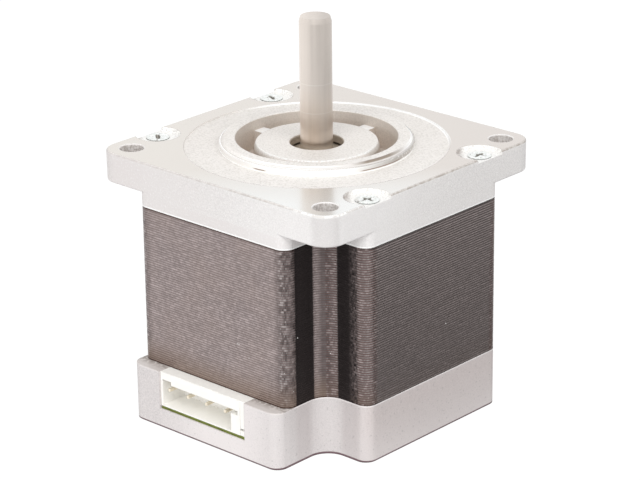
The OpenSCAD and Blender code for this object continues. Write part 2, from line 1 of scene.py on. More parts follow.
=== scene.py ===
"""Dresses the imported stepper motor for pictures.

The visible pieces are surfaces worked out as whole arrays: a profile turned round the shaft
axis, an outline carried along it, or a section carried along a bent path. Lengths are in metres,
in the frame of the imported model, and only the finishes count in millimetres. The mounting face
is z = 0, the shaft points along +Z and the plug socket faces -Y.
"""

import math

import bpy
import numpy as np
from bpy.props import FloatProperty, FloatVectorProperty, IntProperty, PointerProperty
from mathutils import Matrix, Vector
from mathutils.geometry import tessellate_polygon


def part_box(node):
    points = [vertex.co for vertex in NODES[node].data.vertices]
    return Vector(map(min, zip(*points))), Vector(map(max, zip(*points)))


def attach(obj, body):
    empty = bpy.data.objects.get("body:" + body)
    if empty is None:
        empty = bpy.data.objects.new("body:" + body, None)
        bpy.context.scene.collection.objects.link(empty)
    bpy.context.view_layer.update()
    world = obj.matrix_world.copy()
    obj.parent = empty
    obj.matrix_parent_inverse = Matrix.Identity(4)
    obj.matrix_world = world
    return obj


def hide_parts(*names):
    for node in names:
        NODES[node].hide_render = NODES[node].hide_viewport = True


bl_info = {
    "name": "Stepper motor dressing",
    "version": (1, 0, 0),
    "blender": (4, 5, 0),
    "location": "View3D > Sidebar > Motor",
    "description": "Builds the finished surfaces and finishes of a square-flange stepper motor",
    "category": "Add Mesh",
}

MM = 0.001
TURN = 2 * math.pi
# Direction close to the flange's diagonal that runs from the corner at -X, -Y to the one at +X, +Y
ACROSS = (0.736, 0.677)
# Direction at right angles to it, towards the corner at +X, -Y
FRONT = (0.677, -0.736)
# Place of the mounting holes from the axis, along X and along Y, in mm
HOLE_PLACE = 24.0
# Radius of the shallow recess in the bell's front, in mm
RECESS = 24.5
# Place of the centres of the flange's round corners, along X and along Y, in mm
CORNER_CENTRE = 24.5
WHITE = (1.0, 1.0, 0.99)
WARM_WHITE = (1.0, 1.0, 0.98)
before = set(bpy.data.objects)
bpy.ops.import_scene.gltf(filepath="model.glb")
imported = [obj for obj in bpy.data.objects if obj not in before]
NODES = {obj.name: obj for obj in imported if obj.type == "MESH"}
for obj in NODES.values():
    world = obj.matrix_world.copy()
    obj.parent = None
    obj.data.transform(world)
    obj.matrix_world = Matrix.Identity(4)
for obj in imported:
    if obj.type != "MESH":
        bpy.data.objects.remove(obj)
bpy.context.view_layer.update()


def length(name, description, millimetres):
    """A length that a user can change, given in millimetres and kept in metres."""
    return FloatProperty(
        name=name, description=description, default=millimetres * MM, precision=5, unit="LENGTH"
    )


def colour(name, description, red, green, blue):
    """A linear colour that a user can change."""
    return FloatVectorProperty(
        name=name,
        description=description,
        default=(red, green, blue),
        size=3,
        min=0.0,
        max=1.0,
        subtype="COLOR",
    )


def angle_of(name, description, degrees):
    """An angle that a user can change, given in degrees."""
    return FloatProperty(
        name=name, description=description, default=math.radians(degrees), subtype="ANGLE"
    )


def light_level(name, description, value):
    """The strength of a light, which a user can change."""
    return FloatProperty(name=name, description=description, default=value, min=0.0)


class StackSizes(bpy.types.PropertyGroup):
    """Sizes of the lamination stack."""

    top: length("Top", "Height of the stack's front end", -8.6)
    bottom: length("Bottom", "Height of the stack's rear end", -38.7)
    half_side: length("Half side", "Distance of the flat sides from the axis", 28.44)
    notch: length("Notch", "Distance of the notch walls from the axis", 18.4)
    notch_round: length("Notch round", "Inner corner radius of a notch", 4.1)
    lobe_round: length("Lobe round", "Radius of the lobes beside a notch", 2.2)
    groove: length("Groove", "Depth of the groove between two sheets", 0.05)
    groove_width: length("Groove width", "Width of the groove between two sheets", 0.14)
    waviness: length("Waviness", "How far a sheet's edge strays from the mean side", 0.03)
    sheets: IntProperty(name="Sheets", description="Number of sheets", default=66, min=10, max=90)
    bore: length("Bore", "Radius of the stator bore", 13.55)
    slot: length("Slot", "Radius of the slot bottoms", 22.6)
    pole: length("Pole", "Width of a stator pole", 5.6)
    shoe: length("Shoe", "Thickness of a pole shoe", 1.85)


class ShaftSizes(bpy.types.PropertyGroup):
    """Sizes of the shaft and the pieces on it."""

    radius: length("Radius", "Radius of the ground output end", 3.0)
    tip: length("Tip", "Height of the shaft's end", 24.3)
    chamfer: length("Chamfer", "Width of the chamfer at the tip", 0.25)
    chamfer_height: length("Chamfer height", "Height of the chamfer at the tip", 0.9)
    step: length("Step", "Height where the journal starts", -1.15)
    journal: length("Journal", "Radius of the bearing journals", 3.25)
    seat: length("Seat", "Radius of the rotor seat", 4.0)
    seat_top: length("Seat top", "Height of the rotor seat's front end", -7.4)
    seat_bottom: length("Seat bottom", "Height of the rotor seat's rear end", -40.4)
    tail: length("Tail", "Height of the shaft's rear end", -46.8)


class BearingSizes(bpy.types.PropertyGroup):
    """Sizes shared by both ball bearings, and the washer behind the rear one."""

    front: length("Front", "Height of the front bearing's front face", -1.4)
    rear: length("Rear", "Height of the rear bearing's front face", -40.4)
    width: length("Width", "Width of a bearing", 6.0)
    outer: length("Outer", "Outer radius", 9.5)
    inner: length("Inner", "Bore radius", 3.27)
    pitch: length("Pitch", "Radius of the ball circle", 6.375)
    ball: length("Ball", "Radius of a ball", 1.75)
    balls: IntProperty(name="Balls", description="Number of balls", default=7, min=5, max=9)
    washer: length("Washer", "Mean height of the wave washer", -46.8)


class ScrewSizes(bpy.types.PropertyGroup):
    """Sizes of the four long screws."""

    x: length("X", "Distance from the axis along X", 26.0)
    y: length("Y", "Distance from the axis along Y", 15.4)
    top: length("Top", "Height of the head's rim", -0.5)
    head: length("Head", "Radius of the head", 2.18)
    cone: length("Cone", "Height of the countersunk cone", 1.0)
    plain: length("Plain", "Length from the head's rim to the thread", 20.0)
    thread: length("Thread", "Outer radius of the thread", 1.48)
    end: length("End", "Height of the screw's end", -46.85)
    pitch: length("Pitch", "Thread pitch", 0.5)


class PinSizes(bpy.types.PropertyGroup):
    """Sizes of the contact pins."""

    width: length("Width", "Width of a square pin", 0.6)
    bend: length("Bend", "Radius of the bend behind the socket", 0.5)
    middle: length("Middle", "Place of the middle of the row along X", -2.2)
    spacing: length("Spacing", "Distance between two pins", 4.75)
    pins: IntProperty(name="Pins", description="Number of pins", default=4, min=2, max=6)


class Colours(bpy.types.PropertyGroup):
    """Colours of the finishes."""

    cast: colour("Casting", "As-cast aluminium", 0.80, 0.777, 0.765)
    face: colour("Machined face", "Milled aluminium", 0.79, 0.75, 0.70)
    stack: colour("Sheets", "Dark coated sheet edges", 0.42, 0.36, 0.355)
    shaft: colour("Shaft", "Ground steel", 0.75, 0.685, 0.63)
    zinc: colour("Zinc", "Bright zinc plating", 0.90, 0.94, 0.91)
    socket: colour("Socket", "White moulding", 0.97, 0.955, 0.915)
    pin: colour("Pin", "Pale gold plating", 0.93, 0.85, 0.70)
    tin: colour("Tin", "Tinned posts", 0.75, 0.73, 0.68)
    board: colour("Board", "Green board", 0.15, 0.18, 0.025)
    copper: colour("Copper", "Enamelled copper wire", 0.56, 0.22, 0.09)
    insulator: colour("Insulator", "Pale moulding", 0.78, 0.74, 0.62)
    steel: colour("Steel", "Bright bearing steel", 0.62, 0.62, 0.63)
    oily: colour("Oily steel", "Bearing steel under old oil", 0.50, 0.43, 0.35)
    core: colour("Core", "Rotor sheets", 0.30, 0.30, 0.31)
    brass: colour("Brass", "Pressed cage", 0.72, 0.56, 0.28)


class CameraSizes(bpy.types.PropertyGroup):
    """Place of the camera, fitted to the object's edges."""

    azimuth: angle_of("Azimuth", "Turn about the axis", 42.630)
    elevation: angle_of("Elevation", "Tilt above level", 20.986)
    roll: angle_of("Roll", "Turn about the view axis", -0.693)
    distance: length("Distance", "Distance from the origin along the view axis", 498.733)
    right: length("Right", "Sideways place of the view axis", 0.598)
    up: length("Up", "Upward place of the view axis", -17.840)
    lens: FloatProperty(name="Lens", description="Focal length", default=152.61, unit="CAMERA")
    sensor: FloatProperty(name="Sensor", description="Sensor width", default=36.0, unit="CAMERA")


class StageSizes(bpy.types.PropertyGroup):
    """The white ground and the lamps."""

    floor: length("Floor", "Height of the ground", -49.9)
    reach: length("Reach", "Half width of the ground", 3000.0)
    sky: light_level("Sky", "Strength of the even light", 0.58)
    key: light_level("Key", "Strength of the large lamp", 4.9)
    low: light_level("Low", "Strength of the low front lamp", 2.0)
    fill: light_level("Fill", "Strength of the side lamp", 3.3)


GROUPS = {
    "motor_stack": StackSizes,
    "motor_shaft": ShaftSizes,
    "motor_bearings": BearingSizes,
    "motor_screws": ScrewSizes,
    "motor_pins": PinSizes,
    "motor_colours": Colours,
    "motor_camera": CameraSizes,
    "motor_stage": StageSizes,
}


def mesh_piece(name, points, faces, crease=35.0):
    """Puts an array of points and arrays of faces into a new mesh piece.

    Edges that turn by more than the crease angle, in degrees, stay sharp.
    """
    mesh = bpy.data.meshes.new(name)
    corners = np.concatenate([part.ravel() for part in faces])
    sizes = np.concatenate([np.full(len(part), part.shape[1]) for part in faces])
    starts = np.cumsum(sizes) - sizes
    mesh.vertices.add(len(points))
    mesh.vertices.foreach_set("co", np.asarray(points, np.float32).ravel())
    mesh.loops.add(len(corners))
    mesh.loops.foreach_set("vertex_index", corners.astype(np.int32))
    mesh.polygons.add(len(sizes))
    mesh.polygons.foreach_set("loop_start", starts.astype(np.int32))
    mesh.polygons.foreach_set("use_smooth", np.ones(len(sizes), bool))
    mesh.update(calc_edges=True)
    mesh.validate()
    mesh.set_sharp_from_angle(angle=math.radians(crease))
    piece = bpy.data.objects.new(name, mesh)
    bpy.context.scene.collection.objects.link(piece)
    return piece


def add_piece(name, part, material, body, slot, node, crease=35.0):
    """Adds a piece with its finish and its body, and hides the CAD node it stands for. The slot argument
    is not used.
    """
    piece = mesh_piece(name, *part, crease)
    piece.data.materials.append(material)
    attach(piece, body)
    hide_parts(node)


def dress(node, material):
    """Gives a CAD node its finish."""
    slots = NODES[node].data.materials
    slots.clear()
    slots.append(material)


def grid(rows, columns, wrap_rows=False):
    """Quads between neighbouring rows of a grid of points whose rows close on themselves."""
    row = np.arange(rows if wrap_rows else rows - 1)
    i, j = (part.ravel() for part in np.meshgrid(row, np.arange(columns), indexing="ij"))
    i_next = (i + 1) % rows
    j_next = (j + 1) % columns
    corners = [i * columns + j, i * columns + j_next, i_next * columns + j_next, i_next * columns + j]
    return np.stack(corners, 1)


def circle(steps):
    """The angles of evenly spaced points round a circle."""
    return np.arange(steps) * TURN / steps


def rings(radius, height, angle):
    """The points (r cos a, r sin a, z), with a row for every radius and height."""
    parts = np.broadcast_arrays(radius * np.cos(angle), radius * np.sin(angle), height)
    return np.stack(parts, -1)


def tube(rows, start, end):
    """Points and faces of a tube of rows, closed with triangles to a pole at each end."""
    count, steps = rows.shape[:2]
    j = np.arange(steps)
    j_next = (j + 1) % steps
    pole = count * steps
    last = pole - steps
    faces = [
        grid(count, steps),
        np.stack([np.full(steps, pole), j_next, j], 1),
        np.stack([np.full(steps, pole + 1), last + j, last + j_next], 1),
    ]
    return np.concatenate([rows.reshape(-1, 3), [start, end]]), faces


def turned(profile, steps=96, ring=False):
    """Points and faces of a profile of (radius, height) pairs turned about Z.

    The profile runs so that the solid lies on its left. An open profile starts and ends on the
    axis, where a pole closes it, and a ring profile closes on itself.
    """
    profile = np.asarray(profile, float)
    body = profile if ring else profile[1:-1]
    rows = rings(body[:, :1], body[:, 1:], circle(steps))
    if ring:
        return rows.reshape(-1, 3), [grid(len(body), steps, wrap_rows=True)]
    return tube(rows, [0, 0, profile[0, 1]], [0, 0, profile[-1, 1]])


def joined(parts):
    """One array of points and one list of faces from several (points, faces) pairs."""
    points = []
    faces = []
    start = 0
    for part_points, part_faces in parts:
        points.append(part_points)
        faces.extend(face + start for face in part_faces)
        start += len(part_points)
    return np.concatenate(points), faces


def moved(part, x=0.0, y=0.0, z=0.0, turn=0.0):
    """The part turned about Z and then moved."""
    points, faces = part
    c, s = math.cos(turn), math.sin(turn)
    spin = np.array([[c, s, 0], [-s, c, 0], [0, 0, 1]])
    return points @ spin + np.array([x, y, z]), faces


def arc(x, y, radius, start, end, steps):
    """Points on a circle's arc between two angles in degrees."""
    angle = np.radians(np.linspace(start, end, steps + 1))
    return np.stack([x + radius * np.cos(angle), y + radius * np.sin(angle)], 1)


def rectangle(half_x, half_y, rounding, steps):
    """A closed rectangle about the origin, anticlockwise, with arcs at its corners."""
    x = half_x - rounding
    y = half_y - rounding
    places = [(x, y), (-x, y), (-x, -y), (x, -y)]
    corners = [arc(*place, rounding, 90 * k, 90 * k + 90, steps) for k, place in enumerate(places)]
    return np.concatenate(corners)


def fillet(half_x, half_y, radius, steps):
    """A closed rectangle about the origin whose corners give way to quadratic curves.

    Each curve runs between two points that lie the radius away from the corner along its sides,
    or 0.45 of a side where that is shorter.
    """
    p = np.array([(-half_x, -half_y), (half_x, -half_y), (half_x, half_y), (-half_x, half_y)])
    before = np.roll(p, 1, 0) - p
    after = np.roll(p, -1, 0) - p
    size_before = np.linalg.norm(before, axis=1)[:, None]
    size_after = np.linalg.norm(after, axis=1)[:, None]
    reach = np.minimum(radius, 0.45 * np.minimum(size_before, size_after))
    a = p + before / size_before * reach
    b = p + after / size_after * reach
    t = np.linspace(0, 1, steps + 1)[None, :, None]
    curve = (1 - t) ** 2 * a[:, None] + 2 * t * (1 - t) * p[:, None] + t**2 * b[:, None]
    return curve.reshape(-1, 2)


def housing_outline(half, notch, notch_round, lobe, steps=10, flat_steps=25):
    """The square outline with a notch at each corner, anticlockwise.

    One quarter runs round a lobe, along the notch wall, round the notch's inner corner, round the
    second lobe and along a flat side; the other quarters are the same points turned by right
    angles.
    """
    inner = notch + notch_round
    quarter = np.concatenate(
        [
            arc(half - lobe, notch - lobe, lobe, 0, 90, steps),
            arc(inner, inner, notch_round, 270, 180, steps),
            arc(notch - lobe, half - lobe, lobe, 0, 90, steps),
        ]
    )
    flat = np.linspace(quarter[-1], [-quarter[-1, 0], quarter[-1, 1]], flat_steps + 1)[1:-1]
    turns = [np.concatenate([quarter, flat])]
    for _ in range(3):
        last = turns[-1]
        turns.append(np.stack([-last[:, 1], last[:, 0]], 1))
    return np.concatenate(turns)


def outward(outline):
    """Unit normals of a closed anticlockwise outline.

    Each is the direction from the point before to the point after, turned clockwise by a right
    angle.
    """
    run = np.roll(outline, -1, 0) - np.roll(outline, 1, 0)
    run /= np.linalg.norm(run, axis=1)[:, None]
    return np.stack([run[:, 1], -run[:, 0]], 1)


def stator_opening(bore, slot, pole, shoe, poles=8, teeth=5, rotor_teeth=50, tooth_depth=0.6 * MM):
    """The inner outline of a sheet, anticlockwise: toothed pole shoes between round slots.

    Teeth, shoes and slots are arcs about the shaft axis, with straight walls between them. The
    points of one pole and its slot are turned by equal steps.
    """
    pitch = 360 / rotor_teeth
    half_shoe = (teeth - 1) / 2 * pitch + pitch / 4
    under = math.degrees(math.asin(pole / 2 / (bore + shoe)))
    root = math.degrees(math.asin(pole / 2 / slot))
    pieces = []
    for k in range(teeth):
        middle = (k - (teeth - 1) / 2) * pitch
        pieces.append(arc(0, 0, bore, middle - pitch / 4, middle + pitch / 4, 2))
        if k < teeth - 1:
            pieces.append(arc(0, 0, bore + tooth_depth, middle + pitch / 4, middle + pitch * 3 / 4, 2))
    pieces.append(arc(0, 0, bore + shoe, half_shoe, under, 3))
    pieces.append(arc(0, 0, slot, root, 360 / poles - root, 10))
    pieces.append(arc(0, 0, bore + shoe, 360 / poles - under, 360 / poles - half_shoe, 3))
    one = np.concatenate(pieces)
    angle = circle(poles)[:, None]
    x = np.cos(angle) * one[:, 0] - np.sin(angle) * one[:, 1]
    y = np.sin(angle) * one[:, 0] + np.cos(angle) * one[:, 1]
    return np.stack([x, y], -1).reshape(-1, 2)


def end_faces(loops, height_up):
    """Triangles that fill the face between an outer loop and its holes, as grid indices."""
    flat = [[(float(x), float(y), 0.0) for x, y in loop] for loop in loops]
    triangles = np.array(tessellate_polygon(flat), int)
    plane = np.concatenate(loops)
    a, b, c = (plane[triangles[:, k]] for k in range(3))
    area = (b[:, 0] - a[:, 0]) * (c[:, 1] - a[:, 1]) - (b[:, 1] - a[:, 1]) * (c[:, 0] - a[:, 0])
    wrong = (area < 0) if height_up else (area > 0)
    triangles[wrong] = triangles[wrong][:, ::-1]
    return triangles


def carried(outer, holes, heights, insets):
    """An outline with holes carried along Z.

    At each height every point of the outer loop is moved inwards along its normal by its own
    inset. Hole walls run straight from the first height to the last, and both ends are filled
    with triangles.
    """
    skin = outer[None] - outward(outer)[None] * np.array(insets)[..., None]
    z = np.repeat(np.asarray(heights, float)[:, None], len(outer), 1)
    points = [np.concatenate([skin, z[..., None]], -1).reshape(-1, 3)]
    faces = [grid(len(heights), len(outer))]
    count = len(points[0])
    starts = []
    for hole in holes:
        points.extend(np.column_stack([hole, np.full(len(hole), h)]) for h in (heights[0], heights[-1]))
        faces.append(grid(2, len(hole))[:, ::-1] + count)
        starts.append(count)
        count += 2 * len(hole)
    for row, up in ((0, False), (len(heights) - 1, True)):
        index = [np.arange(len(outer)) + row * len(outer)]
        for start, hole in zip(starts, holes):
            index.append(np.arange(len(hole)) + start + (len(hole) if up else 0))
        faces.append(np.concatenate(index)[end_faces([skin[row], *holes], up)])
    return np.concatenate(points), faces


def along(sections, path):
    """A closed section for every point of a path, carried along it, with both ends filled.

    At each point the section lies across the direction of travel; its first coordinate runs
    along X and its second across both.
    """
    travel = np.gradient(path, axis=0)
    travel /= np.linalg.norm(travel, axis=1)[:, None]
    side = np.array([1.0, 0, 0])
    over = np.cross(travel, side)
    over /= np.linalg.norm(over, axis=1)[:, None]
    rows = path[:, None] + sections[..., :1] * side + sections[..., 1:] * over[:, None]
    return tube(rows, rows[0].mean(0), rows[-1].mean(0))


def soft_step(value, softness):
    """Nought below zero and one above it, rising as 1 / (1 + e^(-value / softness))."""
    return 1 / (1 + np.exp(-value / softness))


class Nodes:
    """A tree of shader nodes and short ways to add to it."""

    def __init__(self, tree):
        self.tree = tree

    def add(self, kind, *values, **settings):
        """A new node with its settings, its first inputs fed in order."""
        node = self.tree.nodes.new(kind)
        for key, value in settings.items():
            setattr(node, key, value)
        for socket, value in zip(node.inputs, values):
            self.feed(socket, value)
        return node

    def feed(self, socket, value):
        """Joins an output to a socket, or sets the socket's own value."""
        if isinstance(value, bpy.types.NodeSocket):
            self.tree.links.new(value, socket)
        else:
            socket.default_value = value

    def math(self, operation, *values):
        """The result of one operation on numbers or outputs."""
        return self.add("ShaderNodeMath", *values, operation=operation).outputs[0]

    def times(self, first, *others):
        """The product of all values."""
        for other in others:
            first = self.math("MULTIPLY", first, other)
        return first

    def either(self, a, b):
        """The larger of two masks."""
        return self.math("MAXIMUM", a, b)

    def without(self, mask, share=1.0):
        """One less a share of a mask."""
        return self.math("SUBTRACT", 1.0, self.times(mask, share))

    def spread(self, value, low, high, to_low=0.0, to_high=1.0, kind="LINEAR"):
        """Maps a value from one range to another, clamped at both ends."""
        values = (value, low, high, to_low, to_high)
        node = self.add("ShaderNodeMapRange", *values, clamp=True, interpolation_type=kind)
        return node.outputs[0]

    def sent_on(self, path):
        """One for rays that come by way of a mirror or a clear piece."""
        return self.either(path["Is Glossy Ray"], path["Is Transmission Ray"])


class Finish(Nodes):
    """A finish being built from nodes.

    x, y and z are the object's own coordinates in millimetres, r is the distance from the shaft
    axis, and across and front are the places along the two directions of those names.
    """

    def __init__(self, name, base, roughness, metallic=0.0):
        self.material = bpy.data.materials.new(name)
        self.material.use_nodes = True
        super().__init__(self.material.node_tree)
        self.shader = self.tree.nodes["Principled BSDF"]
        self.coordinates = self.add("ShaderNodeTexCoord").outputs["Object"]
        split = self.add("ShaderNodeSeparateXYZ", self.coordinates)
        self.x, self.y, self.z = (self.times(part, 1 / MM) for part in split.outputs)
        self.r = self.distance(self.x, self.y)
        self.across = self.lying(self.x, self.y, ACROSS)
        self.front = self.lying(self.x, self.y, FRONT)
        self.set("Base Color", (*base, 1.0))
        self.set("Roughness", roughness)
        self.set("Metallic", metallic)

    def set(self, socket, value):
        """Feeds a socket of the finish's own shader."""
        self.feed(self.shader.inputs[socket], value)

    def distance(self, a, b):
        """The root of the sum of two squares."""
        return self.math("SQRT", self.math("ADD", self.times(a, a), self.times(b, b)))

    def lying(self, a, b, direction):
        """How far a place lies along a direction."""
        return self.math("ADD", self.times(a, direction[0]), self.times(b, direction[1]))

    def off(self, x, y):
        """By how much the distances from the two middle planes pass two numbers."""
        pairs = ((self.x, x), (self.y, y))
        return [self.math("SUBTRACT", self.math("ABSOLUTE", part), place) for part, place in pairs]

    def away(self, x, y):
        """The distance from the nearest of four axes that mirror each other."""
        return self.distance(*self.off(x, y))

    def sides(self):
        """The smaller and the larger of the distances from the two middle planes."""
        x, y = (self.math("ABSOLUTE", part) for part in (self.x, self.y))
        return self.math("MINIMUM", x, y), self.math("MAXIMUM", x, y)

    def rim(self, reach=3.62, soft=0.05):
        """One near the outline of the flange, nought inside it."""
        past = (self.math("MAXIMUM", part, 0.0) for part in self.off(CORNER_CENTRE, CORNER_CENTRE))
        return self.spread(self.distance(*past), reach, reach + soft)

    def band(self, value, low, high, soft):
        """One where a value lies between two limits, nought outside them."""
        rise = self.spread(value, low - soft, low + soft)
        return self.times(rise, self.spread(value, high - soft, high + soft, 1.0, 0.0))

    def stretched(self, around, up):
        """The coordinates in metres with one scale along X and Y and another along Z."""
        node = self.add("ShaderNodeMapping", self.coordinates)
        node.inputs["Scale"].default_value = (around, around, up)
        return node.outputs[0]

    def layered(self, scale, layer, step):
        """A vector of the scaled x and y and the number of a layer times a step."""
        parts = (self.times(self.x, scale), self.times(self.y, scale), self.times(layer, step))
        return self.add("ShaderNodeCombineXYZ", *parts).outputs[0]

    def noise(self, scale, detail, vector=None):
        """Soft noise between nought and one, on the coordinates in metres or on a vector."""
        node = self.add("ShaderNodeTexNoise")
        self.feed(node.inputs["Vector"], vector or self.coordinates)
        self.feed(node.inputs["Scale"], scale)
        self.feed(node.inputs["Detail"], detail)
        return node.outputs["Fac"]

    def blend(self, factor, a, b):
        """Mixes two colours."""
        node = self.add("ShaderNodeMix", factor, data_type="RGBA")
        for socket, value in ((node.inputs[6], a), (node.inputs[7], b)):
            self.feed(socket, (*value, 1.0) if isinstance(value, tuple) else value)
        return node.outputs[2]

    def paint(self, under, *layers):
        """Paints layers over a colour. Each is a colour and the masks whose product shows it."""
        for over, *masks in layers:
            under = self.blend(self.times(*masks), under, over)
        return under

    def soften(self, radius, samples=6):
        """Rounds the look of edges by a radius in millimetres."""
        return self.add("ShaderNodeBevel", radius * MM, samples=samples).outputs[0]

    def bump(self, height, strength, distance, normal=None):
        """Raises the surface by a height up to a distance in millimetres."""
        node = self.add("ShaderNodeBump")
        self.feed(node.inputs["Height"], height)
        self.feed(node.inputs["Strength"], strength)
        self.feed(node.inputs["Distance"], distance * MM)
        if normal:
            self.feed(node.inputs["Normal"], normal)
        self.set("Normal", node.outputs[0])

    def mixed(self, factor, a, b):
        """Mixes two shaders."""
        return self.add("ShaderNodeMixShader", factor, a, b).outputs[0]

    def shining(self, strength):
        """A shader that gives off white light."""
        node = self.add("ShaderNodeEmission")
        self.feed(node.inputs["Strength"], strength)
        return node.outputs[0]


def tint(base, *factors):
    """A colour made lighter or darker by one factor, or by one for each of its parts."""
    if len(factors) == 1:
        factors = factors * 3
    return tuple(min(1.0, part * factor) for part, factor in zip(base, factors))


def bell_finish(colours, screws):
    """Cast aluminium with the machined face, the pilot and the edges told apart by their place, and with
    painted light and shade on its faces, edges and hollows.
    """
    cast = tuple(colours.cast)
    face = tuple(colours.face)
    made = Finish("bell_casting", cast, 0.5)
    x, y, z, r, across, front = made.x, made.y, made.z, made.r, made.across, made.front
    band, noise, spread, times = made.band, made.noise, made.spread, made.times
    blend, either, paint = made.blend, made.either, made.paint
    # Milled face and collar, and the grain and specks of the casting
    level = band(z, -0.03, 0.03, 0.01)
    machined = times(level, spread(r, RECESS - 0.1, RECESS))
    bright = either(machined, times(band(r, 17.55, 18.1, 0.05), spread(z, -0.19, -0.1)))
    grain = noise(5000.0, 3.0)
    speck = spread(noise(2600.0, 1.0), 0.56, 0.74)
    # Sides of the bell and the recess in its front, with painted shade on the left and under the flange,
    # and painted light near the front corner, on the recess floor and on the side at +X
    skirt_shade = times(spread(z, -6.1, -6.5), spread(across, 6, -4))
    corner = times(band(across, -16, 18, 4), spread(front, 22, 34))
    top = times(spread(r, RECESS + 0.1, RECESS), spread(z, -0.4, -0.3))
    tip = times(spread(front, 37.2, 38.3, kind="SMOOTHSTEP"), spread(z, -0.3, -0.6))
    right_side_light = times(spread(x, 28.3, 28.48), spread(y, 8, -12))
    # Ring channel with its stain and painted shade, ribs with painted highlights on their tops, mouth, and
    # a painted highlight on the edge of the hub
    stain_and_shade = blend(spread(z, -0.2, -3.2), tint(cast, 0.80, 0.73, 0.65), tint(cast, 0.88, 0.80, 0.72))
    stain_and_shade = paint(stain_and_shade, ((0.34, 0.30, 0.26), spread(noise(3600.0, 2.0), 0.4, 0.65, 0.0, 0.3)))
    channel = times(band(r, 11.3, 15.2, 0.1), spread(z, 0.2, -0.6))
    channel_back = times(band(r, 14.6, 15.05, 0.05), spread(z, 1.38, 1.3))
    rib = times(spread(made.sides()[0], 1.36, 1.3), band(z, -0.52, -0.35, 0.03), band(r, 11.7, 14.6, 0.1))
    mouth = times(spread(r, 5.08, 5.0), spread(z, 0.38, 0.3))
    crest = times(band(r, 10.9, 11.6, 0.1), band(z, 0.2, 0.45, 0.03), spread(front, 2, 7))
    # Pockets round the screws with painted light on their floors, dirty far from the screw and with
    # painted shade on the side towards -X, -Y, and the holes
    place = (screws.x / MM, screws.y / MM)
    reach = made.away(*place)
    pocket = times(spread(reach, 4.35, 4.28), band(z, -0.75, -0.08, 0.03), spread(reach, 1.45, 1.55))
    beside = [
        made.math("SUBTRACT", part, times(made.math("SIGN", part), middle))
        for part, middle in zip((x, y), place)
    ]
    pocket_shade_side = spread(made.lying(*beside, ACROSS), -2.7, -3.6)
    floor = paint(
        # Painted light: a near-white pocket floor
        (0.95, 0.94, 0.92),
        ((0.50, 0.47, 0.45), spread(noise(3000.0, 3.0), 0.5, 0.62), spread(reach, 2.2, 3.2), 0.45),
        # Painted shade on the side towards -X, -Y
        ((0.46, 0.41, 0.38), pocket_shade_side, spread(noise(2000.0, 2.0), 0.3, 0.55, 0.3, 1.0), 0.8),
    )
    hole_reach = made.away(HOLE_PLACE, HOLE_PLACE)
    mottled = blend(spread(noise(2200.0, 3.0), 0.38, 0.6), (0.48, 0.44, 0.41), (0.74, 0.71, 0.69))
    rough = paint(
        blend(spread(grain, 0.32, 0.68), tint(cast, 0.86), tint(cast, 1.08)),
        # Painted shade: a darker, pinker tone on the left side and under the flange
        (tint(cast, 0.93, 0.905, 0.905), either(spread(across, -13, -34), times(skirt_shade, 0.8))),
        # Painted light near the front corner
        ((0.95, 0.93, 0.93), corner, 0.35),
        (tint(cast, 0.96), spread(noise(90.0, 3.0), 0.35, 0.7, 0.0, 0.3)),
        ((0.97, 0.97, 0.97), speck, 0.35),
        # Painted light: a warm, lighter tone on the recess floor, lighter still towards the front
        ((0.98, 0.92, 0.84), top, 0.34),
        ((0.95, 0.93, 0.91), top, spread(front, -6, 20, 0.0, 0.3)),
        ((0.62, 0.59, 0.55), top, spread(noise(2900.0, 3.0), 0.55, 0.34, 0.0, 0.6)),
        # Stain and painted shade in the ring channel and on its outer wall
        (stain_and_shade, channel, 0.85),
        (stain_and_shade, channel_back, 0.75),
        # Painted highlight on the rib tops
        ((0.97, 0.96, 0.95), rib),
        ((0.40, 0.34, 0.27), mouth, 0.9),
        (floor, pocket),
        (mottled, spread(hole_reach, 2.28, 2.22), 0.9),
        ((0.40, 0.375, 0.37), tip, 0.34),
        # Painted light on the side at +X, towards the front
        ((1.0, 0.98, 0.97), right_side_light, 0.26),
        # Painted highlight on the hub's front edge
        (WHITE, crest, spread(noise(2600.0, 2.0), 0.42, 0.58, 0.2, 1.0)),
    )
    milled = paint(
        face,
        # Painted shade towards the right
        (tint(face, 0.92, 0.90, 0.91), spread(across, -30, 36)),
        # Painted light near the front corner
        ((0.90, 0.905, 0.895), machined, spread(front, 14, 33)),
    )
    # Wall of the pilot ring with painted reflection and shade, its slope with a painted brown reflection,
    # a painted gleam and a grey line, its ledge with painted light and shade, and painted shade at its
    # foot
    low_wall = times(band(r, 17.9, 18.1, 0.03), band(z, -0.19, 0.93, 0.02))
    # Painted reflection and shade on the pilot wall: white, darker to the right, a little darker to the
    # left, warm white at its foot
    pilot_wall_light_and_shade = paint(
        WHITE,
        ((0.50, 0.47, 0.44), spread(across, 6, 14)),
        ((0.90, 0.88, 0.86), spread(across, -9, -14)),
        (WHITE, speck, spread(across, 12, 15)),
        (WARM_WHITE, spread(z, 0.1, 0.04)),
    )
    slope = times(band(r, 16.85, 17.7, 0.03), spread(z, 0.98, 1.0))
    brown_reflection = times(band(across, 7.5, 14.5, 1.5), spread(r, 17.5, 17.4), spread(front, -1, 4))
    gleam = times(slope, either(spread(r, 17.15, 17.2), brown_reflection), spread(across, -15, -8))
    # Painted reflection on the slope: white, grey towards the right front, with a brown strip
    sheen = paint(
        WHITE,
        ((0.68, 0.655, 0.63), spread(across, -3, 6), spread(front, 3, 9)),
        ((0.27, 0.22, 0.18), brown_reflection),
    )
    # A grey line painted along the slope as part of its reflection
    line = times(band(r, 17.36, 17.56, 0.05), slope, spread(across, 7, 4))
    ledge = times(band(r, 17.66, 17.97, 0.02), band(z, 0.9, 1.0, 0.01))
